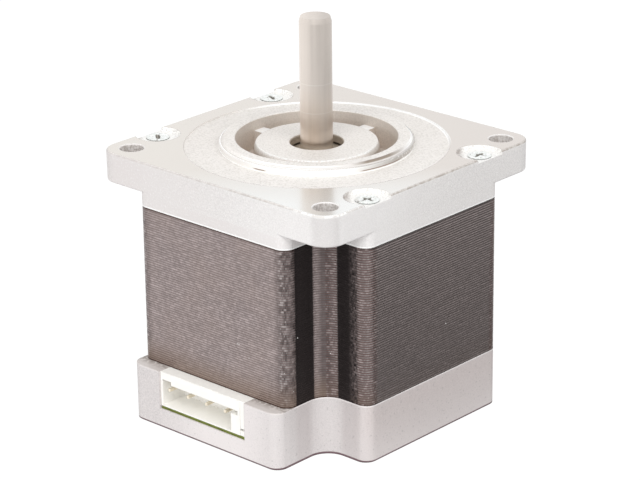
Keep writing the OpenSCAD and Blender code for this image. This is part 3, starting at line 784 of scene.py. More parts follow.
    # Painted light on the left of the ledge and painted shade on its right
    ledge_light_and_shade = blend(spread(across, 5, 9), (0.98, 0.97, 0.96), (0.60, 0.58, 0.56))
    # Painted shade: a dark line at the foot of the pilot wall, for the shaded groove there
    seam_and_shade = times(low_wall, band(z, 0.05, 0.25, 0.02))
    crescents = either(band(across, -11.3, -9.3, 0.3), band(across, 8, 15, 0.5))
    # Painted shade along the flange's rounded top edge with a painted highlight near the front corner, and
    # painted highlights on the lips of the holes, the far side of the recess and the rear edge of the bell
    patchy = spread(noise(1100.0, 2.0), 0.42, 0.58)
    edge = times(made.rim(), band(z, -0.34, -0.04, 0.05), spread(across, -30, 14, 0.3, 0.75))
    # Painted shade along the rounded top edge, in patches, and a painted highlight near the front corner
    edge_shade = blend(patchy, (0.30, 0.25, 0.21), (0.52, 0.48, 0.44))
    near_edge_highlight = blend(spread(patchy, 0.3, 1.0), (0.62, 0.59, 0.56), WARM_WHITE)
    far_rim = times(band(r, 24.15, 24.7, 0.1), spread(z, -0.4, -0.3))
    base = paint(
        blend(bright, rough, milled),
        (pilot_wall_light_and_shade, low_wall),
        (sheen, gleam),
        ((0.66, 0.64, 0.62), line, spread(across, -14, -8, 0.3, 1.0)),
        (ledge_light_and_shade, ledge),
        ((0.30, 0.22, 0.18), seam_and_shade, crescents),
        (blend(spread(front, 31.5, 35), edge_shade, near_edge_highlight), edge),
        # Painted highlight on the lips of the holes
        (WARM_WHITE, band(hole_reach, 2.15, 2.42, 0.03), level, 0.8),
        # Painted highlight on the far side of the recess
        (WHITE, far_rim, spread(front, 3, -4), spread(across, -16, -8)),
        # Painted highlight along the rear edge of the bell
        (WHITE, band(z, -8.7, -8.34, 0.04)),
    )
    made.set("Base Color", base)
    metal = spread(bright, 0.0, 1.0, 0.2, 0.8)
    made.set("Metallic", made.math("SUBTRACT", metal, times(either(low_wall, slope), 0.35)))
    made.set("Roughness", spread(bright, 0.0, 1.0, 0.5, 0.17))
    height = made.math("ADD", grain, times(speck, 0.5))
    made.bump(height, spread(bright, 0.0, 1.0, 0.6, 0.03), 0.05, made.soften(0.22))
    return made.material


def cap_finish(colours):
    """As-cast aluminium, even and slightly sparkling, darker on the side away from the light."""
    cast = tint(colours.cast, 0.89, 0.865, 0.87)
    made = Finish("cap_casting", cast, 0.5, 0.2)
    x, y, z = made.x, made.y, made.z
    band, noise, spread = made.band, made.noise, made.spread
    near, far = made.sides()
    grain = noise(4200.0, 3.0)
    # Painted shade for the side at +X, lighter towards the bottom
    shade = made.blend(
        spread(grain, 0.34, 0.66), tint(cast, 0.85, 0.81, 0.80), tint(cast, 0.94, 0.905, 0.895)
    )
    shade = made.paint(shade, (cast, spread(z, -41, -48, 0.0, 0.5)))
    ledge = made.times(spread(z, -38.85, -38.8), spread(y, -26.6, -27.4))
    stain_and_shade = made.times(spread(y, -30.4, -28.4), spread(noise(1300.0, 4.0), 0.38, 0.54))
    base = made.paint(
        made.blend(spread(grain, 0.32, 0.68), tint(cast, 0.87), tint(cast, 1.08)),
        (tint(cast, 0.95), spread(noise(70.0, 3.0), 0.35, 0.7, 0.0, 0.3)),
        # Painted shade towards +X, on the face at -Y near its corner
        (tint(cast, 0.82), spread(x, 13, 19, 0.0, 0.4)),
        # Painted light on the middle of the face at -Y
        (tint(cast, 1.2), band(x, -6, 15, 6), spread(y, -27.8, -28.3), 0.8),
        (shade, spread(x, 24, 28.4)),
        # Painted shade on the notch walls
        (tint(cast, 0.66, 0.62, 0.62), band(near, 17.9, 18.9, 0.4), band(far, 22.6, 26.2, 0.6), 0.3),
        (tint(cast, 0.5), spread(noise(2300.0, 2.0), 0.64, 0.7), 0.4),
        # Painted highlight along the top edge
        (tint(cast, 1.1), band(z, -38.95, -38.6, 0.05)),
        ((0.68, 0.63, 0.58), ledge, 0.4),
        # Stain and painted shade on the ledge beside the stack
        ((0.24, 0.20, 0.17), ledge, stain_and_shade, 0.75),
        # Painted shadow: a thin dark line along the foot
        ((0.16, 0.10, 0.11), spread(z, -49.4, -49.48)),
    )
    made.set("Base Color", base)
    made.bump(grain, 0.35, 0.05, made.soften(0.25))
    return made.material


def stack_finish(colours, sizes):
    """Dark coated sheet edges: every sheet has its own tone, the notch walls are dull, and light and shade
    are painted round the notches and on the side at +X.
    """
    dark = tuple(colours.stack)
    made = Finish("lamination_steel", dark, 0.32, 0.9)
    x, y, z = made.x, made.y, made.z
    band, noise, spread, times = made.band, made.noise, made.spread, made.times
    near, far = made.sides()
    pitch = (sizes.top - sizes.bottom) / sizes.sheets / MM
    phase = made.math("DIVIDE", made.math("SUBTRACT", z, sizes.bottom / MM), pitch)
    sheet = made.math("FLOOR", phase)
    gap = made.math("ABSOLUTE", made.math("SUBTRACT", made.math("FRACT", phase), 0.5))
    tone = noise(1.0, 2.0, made.layered(0.26, sheet, 7.31))
    fine = noise(1.0, 4.0, made.layered(1.5, sheet, 5.17))
    blotch = noise(1.0, 4.0, made.layered(1.5, sheet, 0.45))
    flecks = noise(1.0, 2.0, made.layered(2.6, sheet, 2.1))
    # Walls and lobes of the corner notches, with painted shade on the walls, in the inner corners and on
    # the lobes, and painted highlights on the convex corners
    beside = made.math("SUBTRACT", made.math("ABSOLUTE", x), made.math("ABSOLUTE", y))
    patchy = times(spread(beside, 5.6, 7.6), spread(flecks, 0.35, 0.6))
    comb = times(band(near, 16.6, 17.9, 0.3), spread(far, 26.9, 27.6), spread(fine, 0.5, 0.62))
    wall = times(spread(near, 18.62, 18.48), spread(near, 17.7, 18.1), band(far, 21.5, 26.1, 0.12))
    wall = times(wall, made.without(patchy, 0.8))
    inner = times(spread(near, 18.6, 19.2), spread(far, 26.8, 25.5))
    lobe = times(spread(near, 15.2, 17.2), spread(far, 25.4, 26.0), spread(beside, 2, -2, 0.3, 1.0))
    ends = made.either(spread(z, -8.92, -8.82), spread(z, -38.4, -38.5))
    # Painted shade on the side at +X, whose flat part has a painted highlight on the crown of each sheet
    # and painted shade at each seam
    dim = times(spread(beside, 0.0, 0.2), spread(x, 0.0, 1.0))
    flat = times(dim, spread(near, 16.4, 15.4))
    seam_and_shade = made.blend(flat, spread(gap, 0.18, 0.42), spread(gap, 0.16, 0.3))
    seam_and_shade = times(seam_and_shade, spread(dim, 0.0, 1.0, 0.55, 1.0), made.without(wall))
    base = made.paint(
        made.blend(spread(tone, 0.3, 0.7), tint(dark, 0.9), tint(dark, 1.3)),
        (tint(dark, 0.62), spread(fine, 0.36, 0.62, 0.0, 0.7)),
        (tint(dark, 1.1, 1.02, 0.93), spread(noise(120.0, 4.0), 0.35, 0.75, 0.0, 0.3)),
        # Painted shade in the inner corners of the notches
        (tint(dark, 0.22), inner, spread(tone, 0.3, 0.7, 0.68, 0.9)),
        # Painted shade on the lobes beside the notches
        (tint(dark, 0.22), lobe, spread(blotch, 0.35, 0.62, 0.3, 0.95)),
        # Painted highlights on the convex corners
        ((0.66, 0.60, 0.59), comb, 0.6),
        (tint(dark, 0.66, 0.56, 0.42), spread(z, -33.0, -38.7, 0.0, 0.6, "SMOOTHSTEP")),
        ((0.05, 0.02, 0.012), ends, 0.85),
        # Painted shade on the side at +X
        (tint(dark, 0.2), dim, 0.4),
        (tint(dark, 1.35), dim, spread(fine, 0.5, 0.36, 0.0, 0.45)),
        # Painted highlight on the crown of each sheet
        (tint(dark, 1.5), flat, spread(gap, 0.22, 0.05, 0.0, 0.65)),
        # Painted highlight where the flat side turns into a lobe
        ((0.62, 0.56, 0.55), band(near, 15.7, 16.4, 0.3), spread(fine, 0.48, 0.4, 0.0, 0.6), dim),
        # Painted shade: the notch walls near black, broken in patches
        ((0.03, 0.024, 0.024), wall, 0.95),
        # Dark seams between the sheets, with painted shade at each seam, strongest on the side at +X
        (made.blend(flat, tint(dark, 0.36, 0.26, 0.24), tint(dark, 0.37, 0.36, 0.35)), seam_and_shade),
        ((0.8, 0.78, 0.76), spread(noise(1700.0, 0.0), 0.885, 0.9)),
    )
    made.set("Base Color", base)
    made.set("Roughness", made.math("ADD", spread(tone, 0.3, 0.7, 0.26, 0.42), times(wall, 0.3)))
    made.bump(fine, 0.3, 0.04)
    return made.material


def shaft_finish(colours):
    """Ground steel: soft streaks along the shaft, faint marks round it and a warmer foot, with painted
    light on its left side and painted shade on its right.
    """
    steel = tuple(colours.shaft)
    made = Finish("ground_shaft", steel, 0.24, 1.0)
    z, spread = made.z, made.spread
    marks = made.noise(1.0, 3.0, made.stretched(40.0, 5200.0))
    streak = made.noise(1.0, 3.0, made.stretched(1300.0, 40.0))
    line = made.either(made.band(z, 11.9, 12.05, 0.04), made.band(z, 6.5, 6.62, 0.04))
    low = spread(z, 0.7, -0.2)
    base = made.paint(
        steel,
        (tint(steel, 0.90, 0.80, 0.69), spread(z, 13.0, 1.0, kind="SMOOTHSTEP"), 0.8),
        (tint(steel, 1.2), spread(streak, 0.35, 0.75, 0.0, 0.25)),
        (tint(steel, 0.78), spread(streak, 0.5, 0.25, 0.0, 0.25)),
        ((0.95, 0.92, 0.88), line, 0.4),
        # Painted light on the shaft's left side and painted shade on its right
        (tint(steel, 1.33), spread(made.across, -1.2, -2.9, 0.0, 0.5)),
        (tint(steel, 0.62), spread(made.across, -0.3, 1.6, 0.0, 0.5)),
        ((0.60, 0.50, 0.40), low),
    )
    made.set("Base Color", base)
    made.set("Metallic", made.without(low, 0.7))
    made.set("Roughness", spread(marks, 0.3, 0.7, 0.30, 0.40))
    made.bump(marks, 0.015, 0.02, made.soften(0.1, 4))
    return made.material


def zinc_finish(colours, screws):
    """Bright zinc with small stains and painted shade in the cross recess."""
    zinc = tuple(colours.zinc)
    made = Finish("zinc_screw", zinc, 0.3, 0.6)
    spread = made.spread
    grain = made.noise(2500.0, 3.0)
    reach = made.away(screws.x / MM, screws.y / MM)
    base = made.paint(
        made.blend(spread(grain, 0.35, 0.65), tint(zinc, 0.85), tint(zinc, 1.1)),
        ((0.40, 0.38, 0.36), spread(made.noise(1500.0, 1.0), 0.64, 0.7)),
        # Painted shade in the cross recess
        ((0.34, 0.32, 0.29), spread(made.z, -0.55, -0.7), spread(reach, 1.8, 1.6)),
    )
    made.set("Base Color", base)
    made.bump(grain, 0.25, 0.03)
    return made.material


def core_finish(colours, sheet=0.5):
    """Rotor sheets of half a millimetre, told apart by fine lines across Z."""
    steel = tuple(colours.core)
    made = Finish("rotor_steel", steel, 0.35, 1.0)
    wave = made.math("SINE", made.times(made.z, TURN / sheet))
    grains = made.noise(1.0, 3.0, made.stretched(300.0, 3800.0))
    tone = made.math("ADD", made.times(wave, 0.25), grains)
    made.set("Base Color", made.blend(made.spread(tone, 0.1, 0.9), tint(steel, 0.7), tint(steel, 1.25)))
    made.bump(wave, 0.3, 0.02)
    return made.material


# Colour, lightness, roughness, metallic, then scale, depth and shade of the grain, then edge in mm
GRAINED = {
    "bearing_steel": ("steel", 1.0, 0.18, 1.0, 1500.0, 0.03, 0.04, 0.0),
    "ball_steel": ("steel", 1.25, 0.07, 1.0, 900.0, 0.01, 0.02, 0.0),
    "cage_brass": ("brass", 1.0, 0.3, 1.0, 1500.0, 0.08, 0.08, 0.1),
    "shield_steel": ("steel", 0.9, 0.3, 1.0, 1800.0, 0.06, 0.06, 0.0),
    "oily_steel": ("oily", 1.0, 0.5, 0.5, 1500.0, 0.06, 0.1, 0.0),
    "magnet": ("steel", 0.85, 0.3, 1.0, 1300.0, 0.1, 0.1, 0.15),
    "spring_steel": ("steel", 0.8, 0.25, 1.0, 1600.0, 0.06, 0.08, 0.0),
    "copper_wire": ("copper", 1.0, 0.3, 0.85, 900.0, 0.1, 0.18, 0.0),
    "insulator_plastic": ("insulator", 1.0, 0.5, 0.0, 1200.0, 0.08, 0.05, 0.15),
    "socket_plastic": ("socket", 1.0, 0.38, 0.0, 700.0, 0.04, 0.02, 0.15),
    "board_green": ("board", 1.0, 0.3, 0.0, 700.0, 0.1, 0.2, 0.0),
    "terminal_tin": ("tin", 1.0, 0.3, 1.0, 1500.0, 0.06, 0.08, 0.0),
    "pin_plating": ("pin", 1.0, 0.35, 0.7, 1500.0, 0.04, 0.05, 0.0),
}


def grained(colours, name):
    """A finish of the table above, with fine grain in its colour, gloss and surface."""
    key, light, roughness, metallic, scale, depth, shade, edge = GRAINED[name]
    base = tint(getattr(colours, key), light)
    made = Finish(name, base, roughness, metallic)
    grain = made.noise(scale, 3.0)
    shades = (tint(base, 1 - shade), tint(base, 1 + shade))
    made.set("Base Color", made.blend(made.spread(grain, 0.3, 0.7), *shades))
    made.set("Roughness", made.spread(grain, 0.3, 0.7, roughness * 0.85, roughness * 1.15))
    made.bump(grain, depth, 0.03, made.soften(edge) if edge else None)
    return made.material


def floor_finish():
    """White ground: bright to the camera, a soft gradient in reflections, and a faint shadow."""
    made = Finish("white_ground", (0.6, 0.6, 0.6), 0.9)
    path = made.add("ShaderNodeLightPath").outputs
    x, y, spread = made.x, made.y, made.spread
    back = made.times(spread(x, 18, 36), spread(y, -24, 2), spread(made.r, 230, 170))
    front = made.times(spread(x, 5, 45), spread(y, -30, -60))
    glow = made.math("SUBTRACT", made.without(back, 0.85), made.times(front, 0.2))
    paper_light = 1.13
    paper_share = 0.86
    plain = made.shader.outputs[0]
    seen = made.mixed(paper_share, plain, made.shining(paper_light))
    seen = made.mixed(path["Is Camera Ray"], plain, seen)
    seen = made.mixed(made.sent_on(path), seen, made.shining(glow))
    made.feed(made.tree.nodes["Material Output"].inputs["Surface"], seen)
    return made.material


class MOTOR_OT_housing(bpy.types.Operator):
    """Finishes the cast front bell and rear cap"""

    bl_idname = "motor.housing"
    bl_label = "Castings"

    def execute(self, context):
        colours = context.scene.motor_colours
        dress("front_end_bell", bell_finish(colours, context.scene.motor_screws))
        dress("rear_end_cap", cap_finish(colours))
        return {"FINISHED"}


def smooth_strays(rng, rows, columns):
    """For each sheet a slow random wave round its outline, between nought and one.

    Random numbers are averaged over nine neighbours, and each sheet adds a number of its own.
    """
    raw = rng.random((rows, columns))
    kernel = np.hanning(9)
    kernel /= kernel.sum()
    spectrum = np.fft.rfft(raw, axis=1) * np.fft.rfft(kernel, columns)
    slow = np.fft.irfft(spectrum, columns, axis=1)
    slow = (slow - slow.min()) / (slow.max() - slow.min())
    return 0.6 * slow + 0.4 * rng.random((rows, 1))


class MOTOR_OT_sheets(bpy.types.Operator):
    """Builds the stator as a stack of thin sheets"""

    bl_idname = "motor.sheets"
    bl_label = "Stator sheets"

    def execute(self, context):
        scene = context.scene
        sizes = scene.motor_stack
        screw = scene.motor_screws
        outer = housing_outline(sizes.half_side, sizes.notch, sizes.notch_round, sizes.lobe_round)
        # The bore with its slots, and a hole for each screw
        clear = arc(0, 0, screw.thread + 0.2 * MM, 0, 360, 16)[:-1]
        holes = [stator_opening(sizes.bore, sizes.slot, sizes.pole, sizes.shoe)]
        holes += [clear + [sx * screw.x, sy * screw.y] for sx in (-1, 1) for sy in (-1, 1)]
        pitch = (sizes.top - sizes.bottom) / sizes.sheets
        half = sizes.groove_width / 2
        stray = smooth_strays(np.random.default_rng(7), sizes.sheets, len(outer)) * sizes.waviness
        end = np.full(len(outer), sizes.groove * 0.3)
        # Insets are a sheet's own wave along its edge, and at a seam the mean of two and the groove
        heights = [sizes.bottom]
        insets = [end]
        for k in range(sizes.sheets):
            low = sizes.bottom + k * pitch
            heights += [low + half, low + pitch - half]
            insets += [stray[k], stray[k]]
            if k < sizes.sheets - 1:
                heights.append(low + pitch)
                insets.append((stray[k] + stray[k + 1]) / 2 + sizes.groove)
        part = carried(outer, holes, [*heights, sizes.top], [*insets, end])
        finish = stack_finish(scene.motor_colours, sizes)
        add_piece("stator_sheets", part, finish, "housing", "lamination_steel", "stator_laminations", 50.0)
        return {"FINISHED"}


class MOTOR_OT_shaft(bpy.types.Operator):
    """Builds the shaft with its ground end and turned marks"""

    bl_idname = "motor.shaft"
    bl_label = "Shaft"

    def execute(self, context):
        s = context.scene.motor_shaft
        # The end's face falls and rises with the cosine of the radius, as a turning tool leaves it
        tool_depth = 0.015 * MM
        tool_pitch = 0.3 * MM
        radius = np.linspace(0, s.radius - s.chamfer - 0.1 * MM, 14)
        height = s.tip + tool_depth * np.cos(radius / tool_pitch * TURN) - tool_depth
        body = [
            (0, s.tail),
            (s.journal - 0.3 * MM, s.tail),
            (s.journal, s.tail + 0.3 * MM),
            (s.journal, s.seat_bottom - 0.15 * MM),
            (s.journal - 0.05 * MM, s.seat_bottom),
            (s.seat - 0.1 * MM, s.seat_bottom),
            (s.seat, s.seat_bottom + 0.1 * MM),
            (s.seat, s.seat_top - 0.1 * MM),
            (s.seat - 0.1 * MM, s.seat_top),
            (s.journal - 0.05 * MM, s.seat_top),
            (s.journal, s.seat_top + 0.15 * MM),
            (s.journal, s.step - 0.25 * MM),
            (s.radius, s.step),
            (s.radius, s.tip - s.chamfer_height - 0.05 * MM),
            (s.radius - 0.02 * MM, s.tip - s.chamfer_height + 0.05 * MM),
            (s.radius - s.chamfer, s.tip - 0.06 * MM),
            (s.radius - s.chamfer - 0.06 * MM, s.tip),
        ]
        part = turned(np.concatenate([body, np.stack([radius, height], 1)[::-1]]), 128)
        finish = shaft_finish(context.scene.motor_colours)
        add_piece("output_shaft", part, finish, "rotor", "ground_shaft", "shaft", 40.0)
        return {"FINISHED"}


def long_screw(s, steps=96):
    """One screw: a domed head with a cross recess, a cone, a plain shank and a thread.

    The dome falls with the square of the radius. The recess is a product of two soft steps, one
    across an arm of the cross and one along it, and grows deeper towards the middle. The thread
    is a ripple of the radius that climbs with the angle.
    """
    dome_height = 0.3 * MM
    arm_length = 1.45 * MM
    arm_half_width = 0.42 * MM
    recess_depth = 1.3 * MM
    thread_depth = 0.22 * MM
    angle = circle(steps)
    radius = np.linspace(1.0, 0.02, 26)[:, None] * s.head
    dome = dome_height * (1 - (radius / s.head) ** 2)
    arms = np.abs([np.cos(angle), np.sin(angle)])
    along_arm = radius * arms.max(0)
    off_arm = radius * arms.min(0)
    inside = soft_step(arm_half_width - 0.12 * along_arm - off_arm, 0.05 * MM)
    inside *= soft_step(arm_length - along_arm, 0.08 * MM)
    pit = inside * np.maximum(recess_depth - 0.5 * along_arm, 0)
    head = rings(radius, s.top + dome - pit, angle)
    thread_top = s.top - s.plain
    shank = np.array(
        [
            (s.head, s.top - 0.08 * MM),
            (s.head - 0.1 * MM, s.top - 0.2 * MM),
            (s.thread + 0.02 * MM, s.top - 0.2 * MM - s.cone),
            (s.thread, thread_top + 0.3 * MM),
        ]
    )
    height = np.arange(thread_top, s.end + 0.6 * MM, -s.pitch / 4)[:, None]
    ripple = np.abs((height / s.pitch - angle / TURN) % 1.0 * 2 - 1)
    thread = rings(s.thread - thread_depth * ripple, height, angle)
    end = rings(0.7 * s.thread, s.end, angle)
    rows = np.concatenate([head[::-1], rings(shank[:, :1], shank[:, 1:], angle), thread, end[None]])
    points, faces = tube(rows, [0, 0, head[-1, :, 2].mean()], [0, 0, s.end])
    return points, [face[:, ::-1] for face in faces]


class MOTOR_OT_screws(bpy.types.Operator):
    """Builds the four long screws with cross recesses and threads"""

    bl_idname = "motor.screws"
    bl_label = "Long screws"

    def execute(self, context):
        s = context.scene.motor_screws
        one = long_screw(s)
        signs = [(sx, sy) for sx in (-1, 1) for sy in (-1, 1)]
        part = joined(moved(one, sx * s.x, sy * s.y, 0, 0.5 + sx * 0.3 + sy * 0.9) for sx, sy in signs)
        zinc = zinc_finish(context.scene.motor_colours, s)
        add_piece("long_screws", part, zinc, "housing", "zinc_screw", "assembly_screws")
        return {"FINISHED"}


def shield(r_in, r_out, low):
    """A pressed ring plate whose two faces rise and fall once, as 1 - cos, between its edges."""
    depth = 0.06 * MM
    r = np.linspace(r_in, r_out, 12)
    sink = depth * (1 - np.cos((r - r_in) / (r_out - r_in) * TURN))
    under = np.stack([r, low + 0.02 * MM + sink * 0.5], 1)
    over = np.stack([r, low + 0.16 * MM + sink], 1)
    return turned(np.concatenate([under, over[::-1]]), ring=True)


class MOTOR_OT_bearings(bpy.types.Operator):
    """Builds both ball bearings: rings, balls and shields, and finishes their cages"""

    bl_idname = "motor.bearings"
    bl_label = "Ball bearings"

    def execute(self, context):
        b = context.scene.motor_bearings
        names = ("bearing_steel", "ball_steel", "cage_brass", "shield_steel", "oily_steel")
        steel, ball_steel, brass, plate, oily = (
            grained(context.scene.motor_colours, name) for name in names
        )
        chamfer = 0.25 * MM
        outer_chamfer = 0.2 * MM
        rebate = 0.65 * MM
        # A race is an arc about the ball's centre, and lift is the angle where it meets its shoulder
        land = b.ball * 2 * 0.43
        groove = b.ball + 0.04 * MM
        lift = math.degrees(math.acos(land / groove))
        shoulder_in = b.pitch - land
        shoulder_out = b.pitch + land
        seat = shoulder_out + 0.45 * MM
        dish = arc(0, 0, b.ball, -90, 90, 16)
        for end, top, ring, cover in (("front", b.front, oily, oily), ("rear", b.rear, steel, plate)):
            middle = top - b.width / 2
            bottom = top - b.width
            inner = [
                (b.inner, bottom + chamfer),
                (b.inner + chamfer, bottom),
                (shoulder_in, bottom),
                *arc(b.pitch, middle, groove, 180 + lift, 180 - lift, 16),
                (shoulder_in, top),
                (b.inner + chamfer, top),
                (b.inner, top - chamfer),
            ]
            outer = [
                (b.outer - outer_chamfer, bottom),
                (b.outer, bottom + outer_chamfer),
                (b.outer, top - outer_chamfer),
                (b.outer - outer_chamfer, top),
                (seat, top),
                (seat, top - rebate),
                (shoulder_out, top - rebate),
                *arc(b.pitch, middle, groove, lift, -lift, 16),
                (shoulder_out, bottom + rebate),
                (seat, bottom + rebate),
                (seat, bottom),
            ]
            ball = turned(dish, 32)
            places = rings(b.pitch, middle, circle(b.balls))
            balls = joined(moved(ball, *place) for place in places)
            lows = (top - rebate, bottom + 0.35 * MM)
            shields = joined(shield(shoulder_in + 0.2 * MM, seat - 0.02 * MM, low) for low in lows)
            node = end + "_bearing_"
            pieces = (
                ("_inner_race", turned(inner, ring=True), ring, "rotor", "bearing_steel", "inner_ring"),
                ("_outer_race", turned(outer, ring=True), steel, "housing", "bearing_steel", "outer_ring"),
                ("_balls", balls, ball_steel, end + "_ball_set", "ball_steel", "balls"),
                ("_shields", shields, cover, "housing", "shield_steel", "shields"),
            )
            for name, part, finish, body, slot, stood_for in pieces:
                add_piece(end + name, part, finish, body, slot, node + stood_for)
            dress(node + "cage", brass)
        return {"FINISHED"}


class MOTOR_OT_rotor(bpy.types.Operator):
    """Finishes the toothed cores and the magnet and builds the wave washer"""

    bl_idname = "motor.rotor"
    bl_label = "Rotor"

    def execute(self, context):
        colours = context.scene.motor_colours
        cores = core_finish(colours)
        dress("front_rotor_core", cores)
        dress("rear_rotor_core", cores)
        dress("rotor_magnet", grained(colours, "magnet"))
        b = context.scene.motor_bearings
        # A thin section turned about Z, whose height follows the cosine of three times the angle
        half_width = 0.85 * MM
        half_thickness = 0.15 * MM
        middle = b.outer - 0.25 * MM - half_width
        section = fillet(half_width, half_thickness, 0.05 * MM, 2)
        angle = circle(144)
        wave = b.washer + 0.23 * MM * np.cos(3 * angle)
        points = rings(middle + section[:, :1], section[:, 1:] + wave, angle)
        part = (points.reshape(-1, 3), [grid(*points.shape[:2], wrap_rows=True)])
        spring = grained(colours, "spring_steel")
        add_piece("spring_washer", part, spring, "housing", "spring_steel", "wave_washer")
        return {"FINISHED"}


def coil(stack, near_r, far_r, build, turns=14):
    """One coil round the pole on the +X axis, with a ripple for each turn of wire.

    A racetrack runs round the pole. Across it the winding grows from 0.75 of its build near the
    shaft to all of it far away, plus |sin| of the place with one hump for each turn.
    """
    rounding = 1.2 * MM
    hump = 0.12 * MM
    half_length = (stack.top - stack.bottom) / 2 + 0.95 * MM
    track = rectangle(stack.pole / 2 + 0.5 * MM, half_length, rounding, 6)
    place = np.linspace(0, 1, turns * 6 + 1)
    rise = build * (0.75 + 0.25 * place) - 0.15 * MM + hump * np.abs(np.sin(place * turns * math.pi))
    x = np.concatenate([near_r + (far_r - near_r) * place, [far_r, near_r]])
    rise = np.concatenate([rise, [0, 0]])
    skin = track + outward(track) * rise[:, None, None] + [0, (stack.top + stack.bottom) / 2]
    points = np.concatenate([np.broadcast_to(x[:, None, None], (*skin.shape[:2], 1)), skin], -1)
    return points.reshape(-1, 3), [grid(*skin.shape[:2], wrap_rows=True)]


class MOTOR_OT_windings(bpy.types.Operator):
    """Builds the eight coils turn by turn and finishes the insulators"""

    bl_idname = "motor.windings"
    bl_label = "Windings"

    def execute(self, context):
        colours = context.scene.motor_colours
        one = coil(context.scene.motor_stack, near_r=16.7 * MM, far_r=21.8 * MM, build=2.05 * MM)
        copper = grained(colours, "copper_wire")
        for first, name, node in ((0, "coils_a", "phase_a_coils"), (1, "coils_b", "phase_b_coils")):
            part = joined(moved(one, turn=k * TURN / 8) for k in range(first, 8, 2))
            add_piece(name, part, copper, "housing", "copper_wire", node, 60.0)
        pale = grained(colours, "insulator_plastic")
        dress("front_winding_insulator", pale)
        dress("rear_winding_insulator", pale)
        return {"FINISHED"}


class MOTOR_OT_socket(bpy.types.Operator):
    """Finishes the plug socket and the board and builds the bent contact pins"""

    bl_idname = "motor.socket"
    bl_label = "Plug socket"

    def execute(self, context):
        colours = context.scene.motor_colours
        dress("connector_header", grained(colours, "socket_plastic"))
        dress("connection_board", grained(colours, "board_green"))
        dress("coil_terminals", grained(colours, "terminal_tin"))
        sizes = context.scene.motor_pins
        bottom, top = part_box("connector_pins")
        half = sizes.width / 2
        bend = sizes.bend
        leg_y = top.y - half
        pin_z = top.z - half
        # A pin runs straight in from its point, round a quarter circle and straight down its leg
        # These are distances from the point in mm, and the share of the full width there
        point = np.array([(0.0, 0.35), (0.03, 0.6), (0.1, 0.85), (0.2, 0.96), (0.3, 1.0), (0.5, 1.0)])
        turn = np.radians(np.linspace(0, 90, 9))
        leg = np.linspace(pin_z - 2 * bend, bottom.z, 6)
        y = [bottom.y + point[:, 0] * MM, leg_y - bend + bend * np.sin(turn), np.full(len(leg), leg_y)]
        z = [np.full(len(point), pin_z), pin_z - bend + bend * np.cos(turn), leg]
        y, z = np.concatenate(y), np.concatenate(z)
        path = np.stack([np.zeros(len(y)), y, z], 1)
        shrink = np.ones(len(path))
        shrink[: len(point)] = point[:, 1]
        sections = fillet(half, half, 0.2 * MM, 3) * shrink[:, None, None]
        one = along(sections, path)
        places = sizes.middle + (np.arange(sizes.pins) - (sizes.pins - 1) / 2) * sizes.spacing
        part = joined(moved(one, x=x) for x in places)
        gold = grained(colours, "pin_plating")
        add_piece("contact_pins", part, gold, "housing", "pin_plating", "connector_pins")
        return {"FINISHED"}


def stand(thing, right, up, back, place):
    """Puts a lamp or a camera into the scene at a place, turned by three directions."""
    rows = [(right[k], up[k], back[k], place[k]) for k in range(3)]
    thing.matrix_world = Matrix([*rows, (0, 0, 0, 1)])
    bpy.context.scene.collection.objects.link(thing)


def lamp(name, place, aim_height, size, power):
    """A large square lamp at a place, turned to a point of the shaft axis."""
    data = bpy.data.lights.new(name, "AREA")
    data.shape = "SQUARE"
    data.size = size
    data.energy = power
    thing = bpy.data.objects.new(name, data)
    thing.visible_glossy = False
    back = np.array(place) - [0, 0, aim_height]
    back /= np.linalg.norm(back)
    right = np.cross([0, 0, 1.0], back)
    right /= np.linalg.norm(right)
    stand(thing, right, np.cross(back, right), back, place)


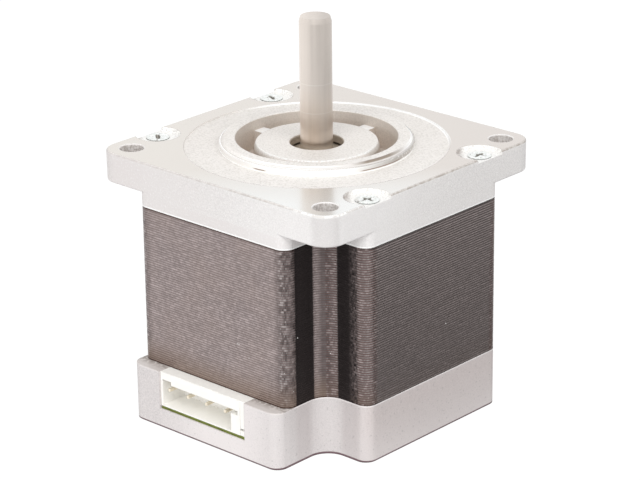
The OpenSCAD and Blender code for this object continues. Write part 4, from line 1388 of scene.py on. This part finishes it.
class MOTOR_OT_stage(bpy.types.Operator):
    """Sets up the white ground, the even light, the lamps and the camera"""

    bl_idname = "motor.stage"
    bl_label = "Stage"

    def execute(self, context):
        scene = context.scene
        sizes = scene.motor_stage
        signs = ((-1, -1), (1, -1), (1, 1), (-1, 1))
        points = [(sx * sizes.reach, sy * sizes.reach, sizes.floor) for sx, sy in signs]
        floor = mesh_piece("ground", points, [np.array([[0, 1, 2, 3]])])
        floor.data.materials.append(floor_finish())
        scene.world = bpy.data.worlds.new("even_light")
        scene.world.use_nodes = True
        nodes = Nodes(scene.world.node_tree)
        path = nodes.add("ShaderNodeLightPath").outputs
        bright = nodes.either(path["Is Camera Ray"], nodes.sent_on(path))
        sky = nodes.tree.nodes["Background"]
        sky.inputs["Color"].default_value = (1.0, 1.0, 1.0, 1.0)
        nodes.feed(sky.inputs["Strength"], nodes.spread(bright, 0.0, 1.0, sizes.sky, 1.0))
        lamp("key", (0.30, -0.70, 0.72), -0.02, 0.6, sizes.key)
        lamp("low", (0.10, -0.95, 0.12), -0.03, 0.5, sizes.low)
        lamp("fill", (0.74, -0.1, 0.60), -0.02, 0.6, sizes.fill)
        view = scene.motor_camera
        # Azimuth and elevation give the view's direction, and the roll turns right and up about it
        a, e, roll = view.azimuth, view.elevation, view.roll
        back = np.array([math.sin(a) * math.cos(e), -math.cos(a) * math.cos(e), math.sin(e)])
        level_right = np.array([math.cos(a), math.sin(a), 0.0])
        level_up = np.cross(back, level_right)
        right = math.cos(roll) * level_right + math.sin(roll) * level_up
        up = math.cos(roll) * level_up - math.sin(roll) * level_right
        data = bpy.data.cameras.new("view")
        data.lens = view.lens
        data.sensor_width = view.sensor
        camera = bpy.data.objects.new("view", data)
        stand(camera, right, up, back, view.distance * back + view.right * right + view.up * up)
        scene.camera = camera
        scene.view_settings.view_transform = "Standard"
        return {"FINISHED"}


OPERATORS = (
    MOTOR_OT_housing,
    MOTOR_OT_sheets,
    MOTOR_OT_shaft,
    MOTOR_OT_screws,
    MOTOR_OT_bearings,
    MOTOR_OT_rotor,
    MOTOR_OT_windings,
    MOTOR_OT_socket,
    MOTOR_OT_stage,
)


class MOTOR_PT_build(bpy.types.Panel):
    """Lists the steps that dress the motor"""

    bl_label = "Motor"
    bl_idname = "MOTOR_PT_build"
    bl_space_type = "VIEW_3D"
    bl_region_type = "UI"
    bl_category = "Motor"

    def draw(self, context):
        for operator in OPERATORS:
            self.layout.operator(operator.bl_idname, text=operator.bl_label)


def register():
    """Registers the groups, the operators and the panel."""
    for name, group in GROUPS.items():
        bpy.utils.register_class(group)
        setattr(bpy.types.Scene, name, PointerProperty(type=group))
    for kind in (*OPERATORS, MOTOR_PT_build):
        bpy.utils.register_class(kind)


def unregister():
    """Takes away what register added."""
    for kind in reversed((*OPERATORS, MOTOR_PT_build)):
        bpy.utils.unregister_class(kind)
    for name, group in reversed(GROUPS.items()):
        delattr(bpy.types.Scene, name)
        bpy.utils.unregister_class(group)


def main():
    """Registers the add-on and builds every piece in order."""
    register()
    bpy.ops.motor.housing()
    bpy.ops.motor.sheets()
    bpy.ops.motor.shaft()
    bpy.ops.motor.screws()
    bpy.ops.motor.bearings()
    bpy.ops.motor.rotor()
    bpy.ops.motor.windings()
    bpy.ops.motor.socket()
    bpy.ops.motor.stage()


if __name__ == "__main__":
    main()
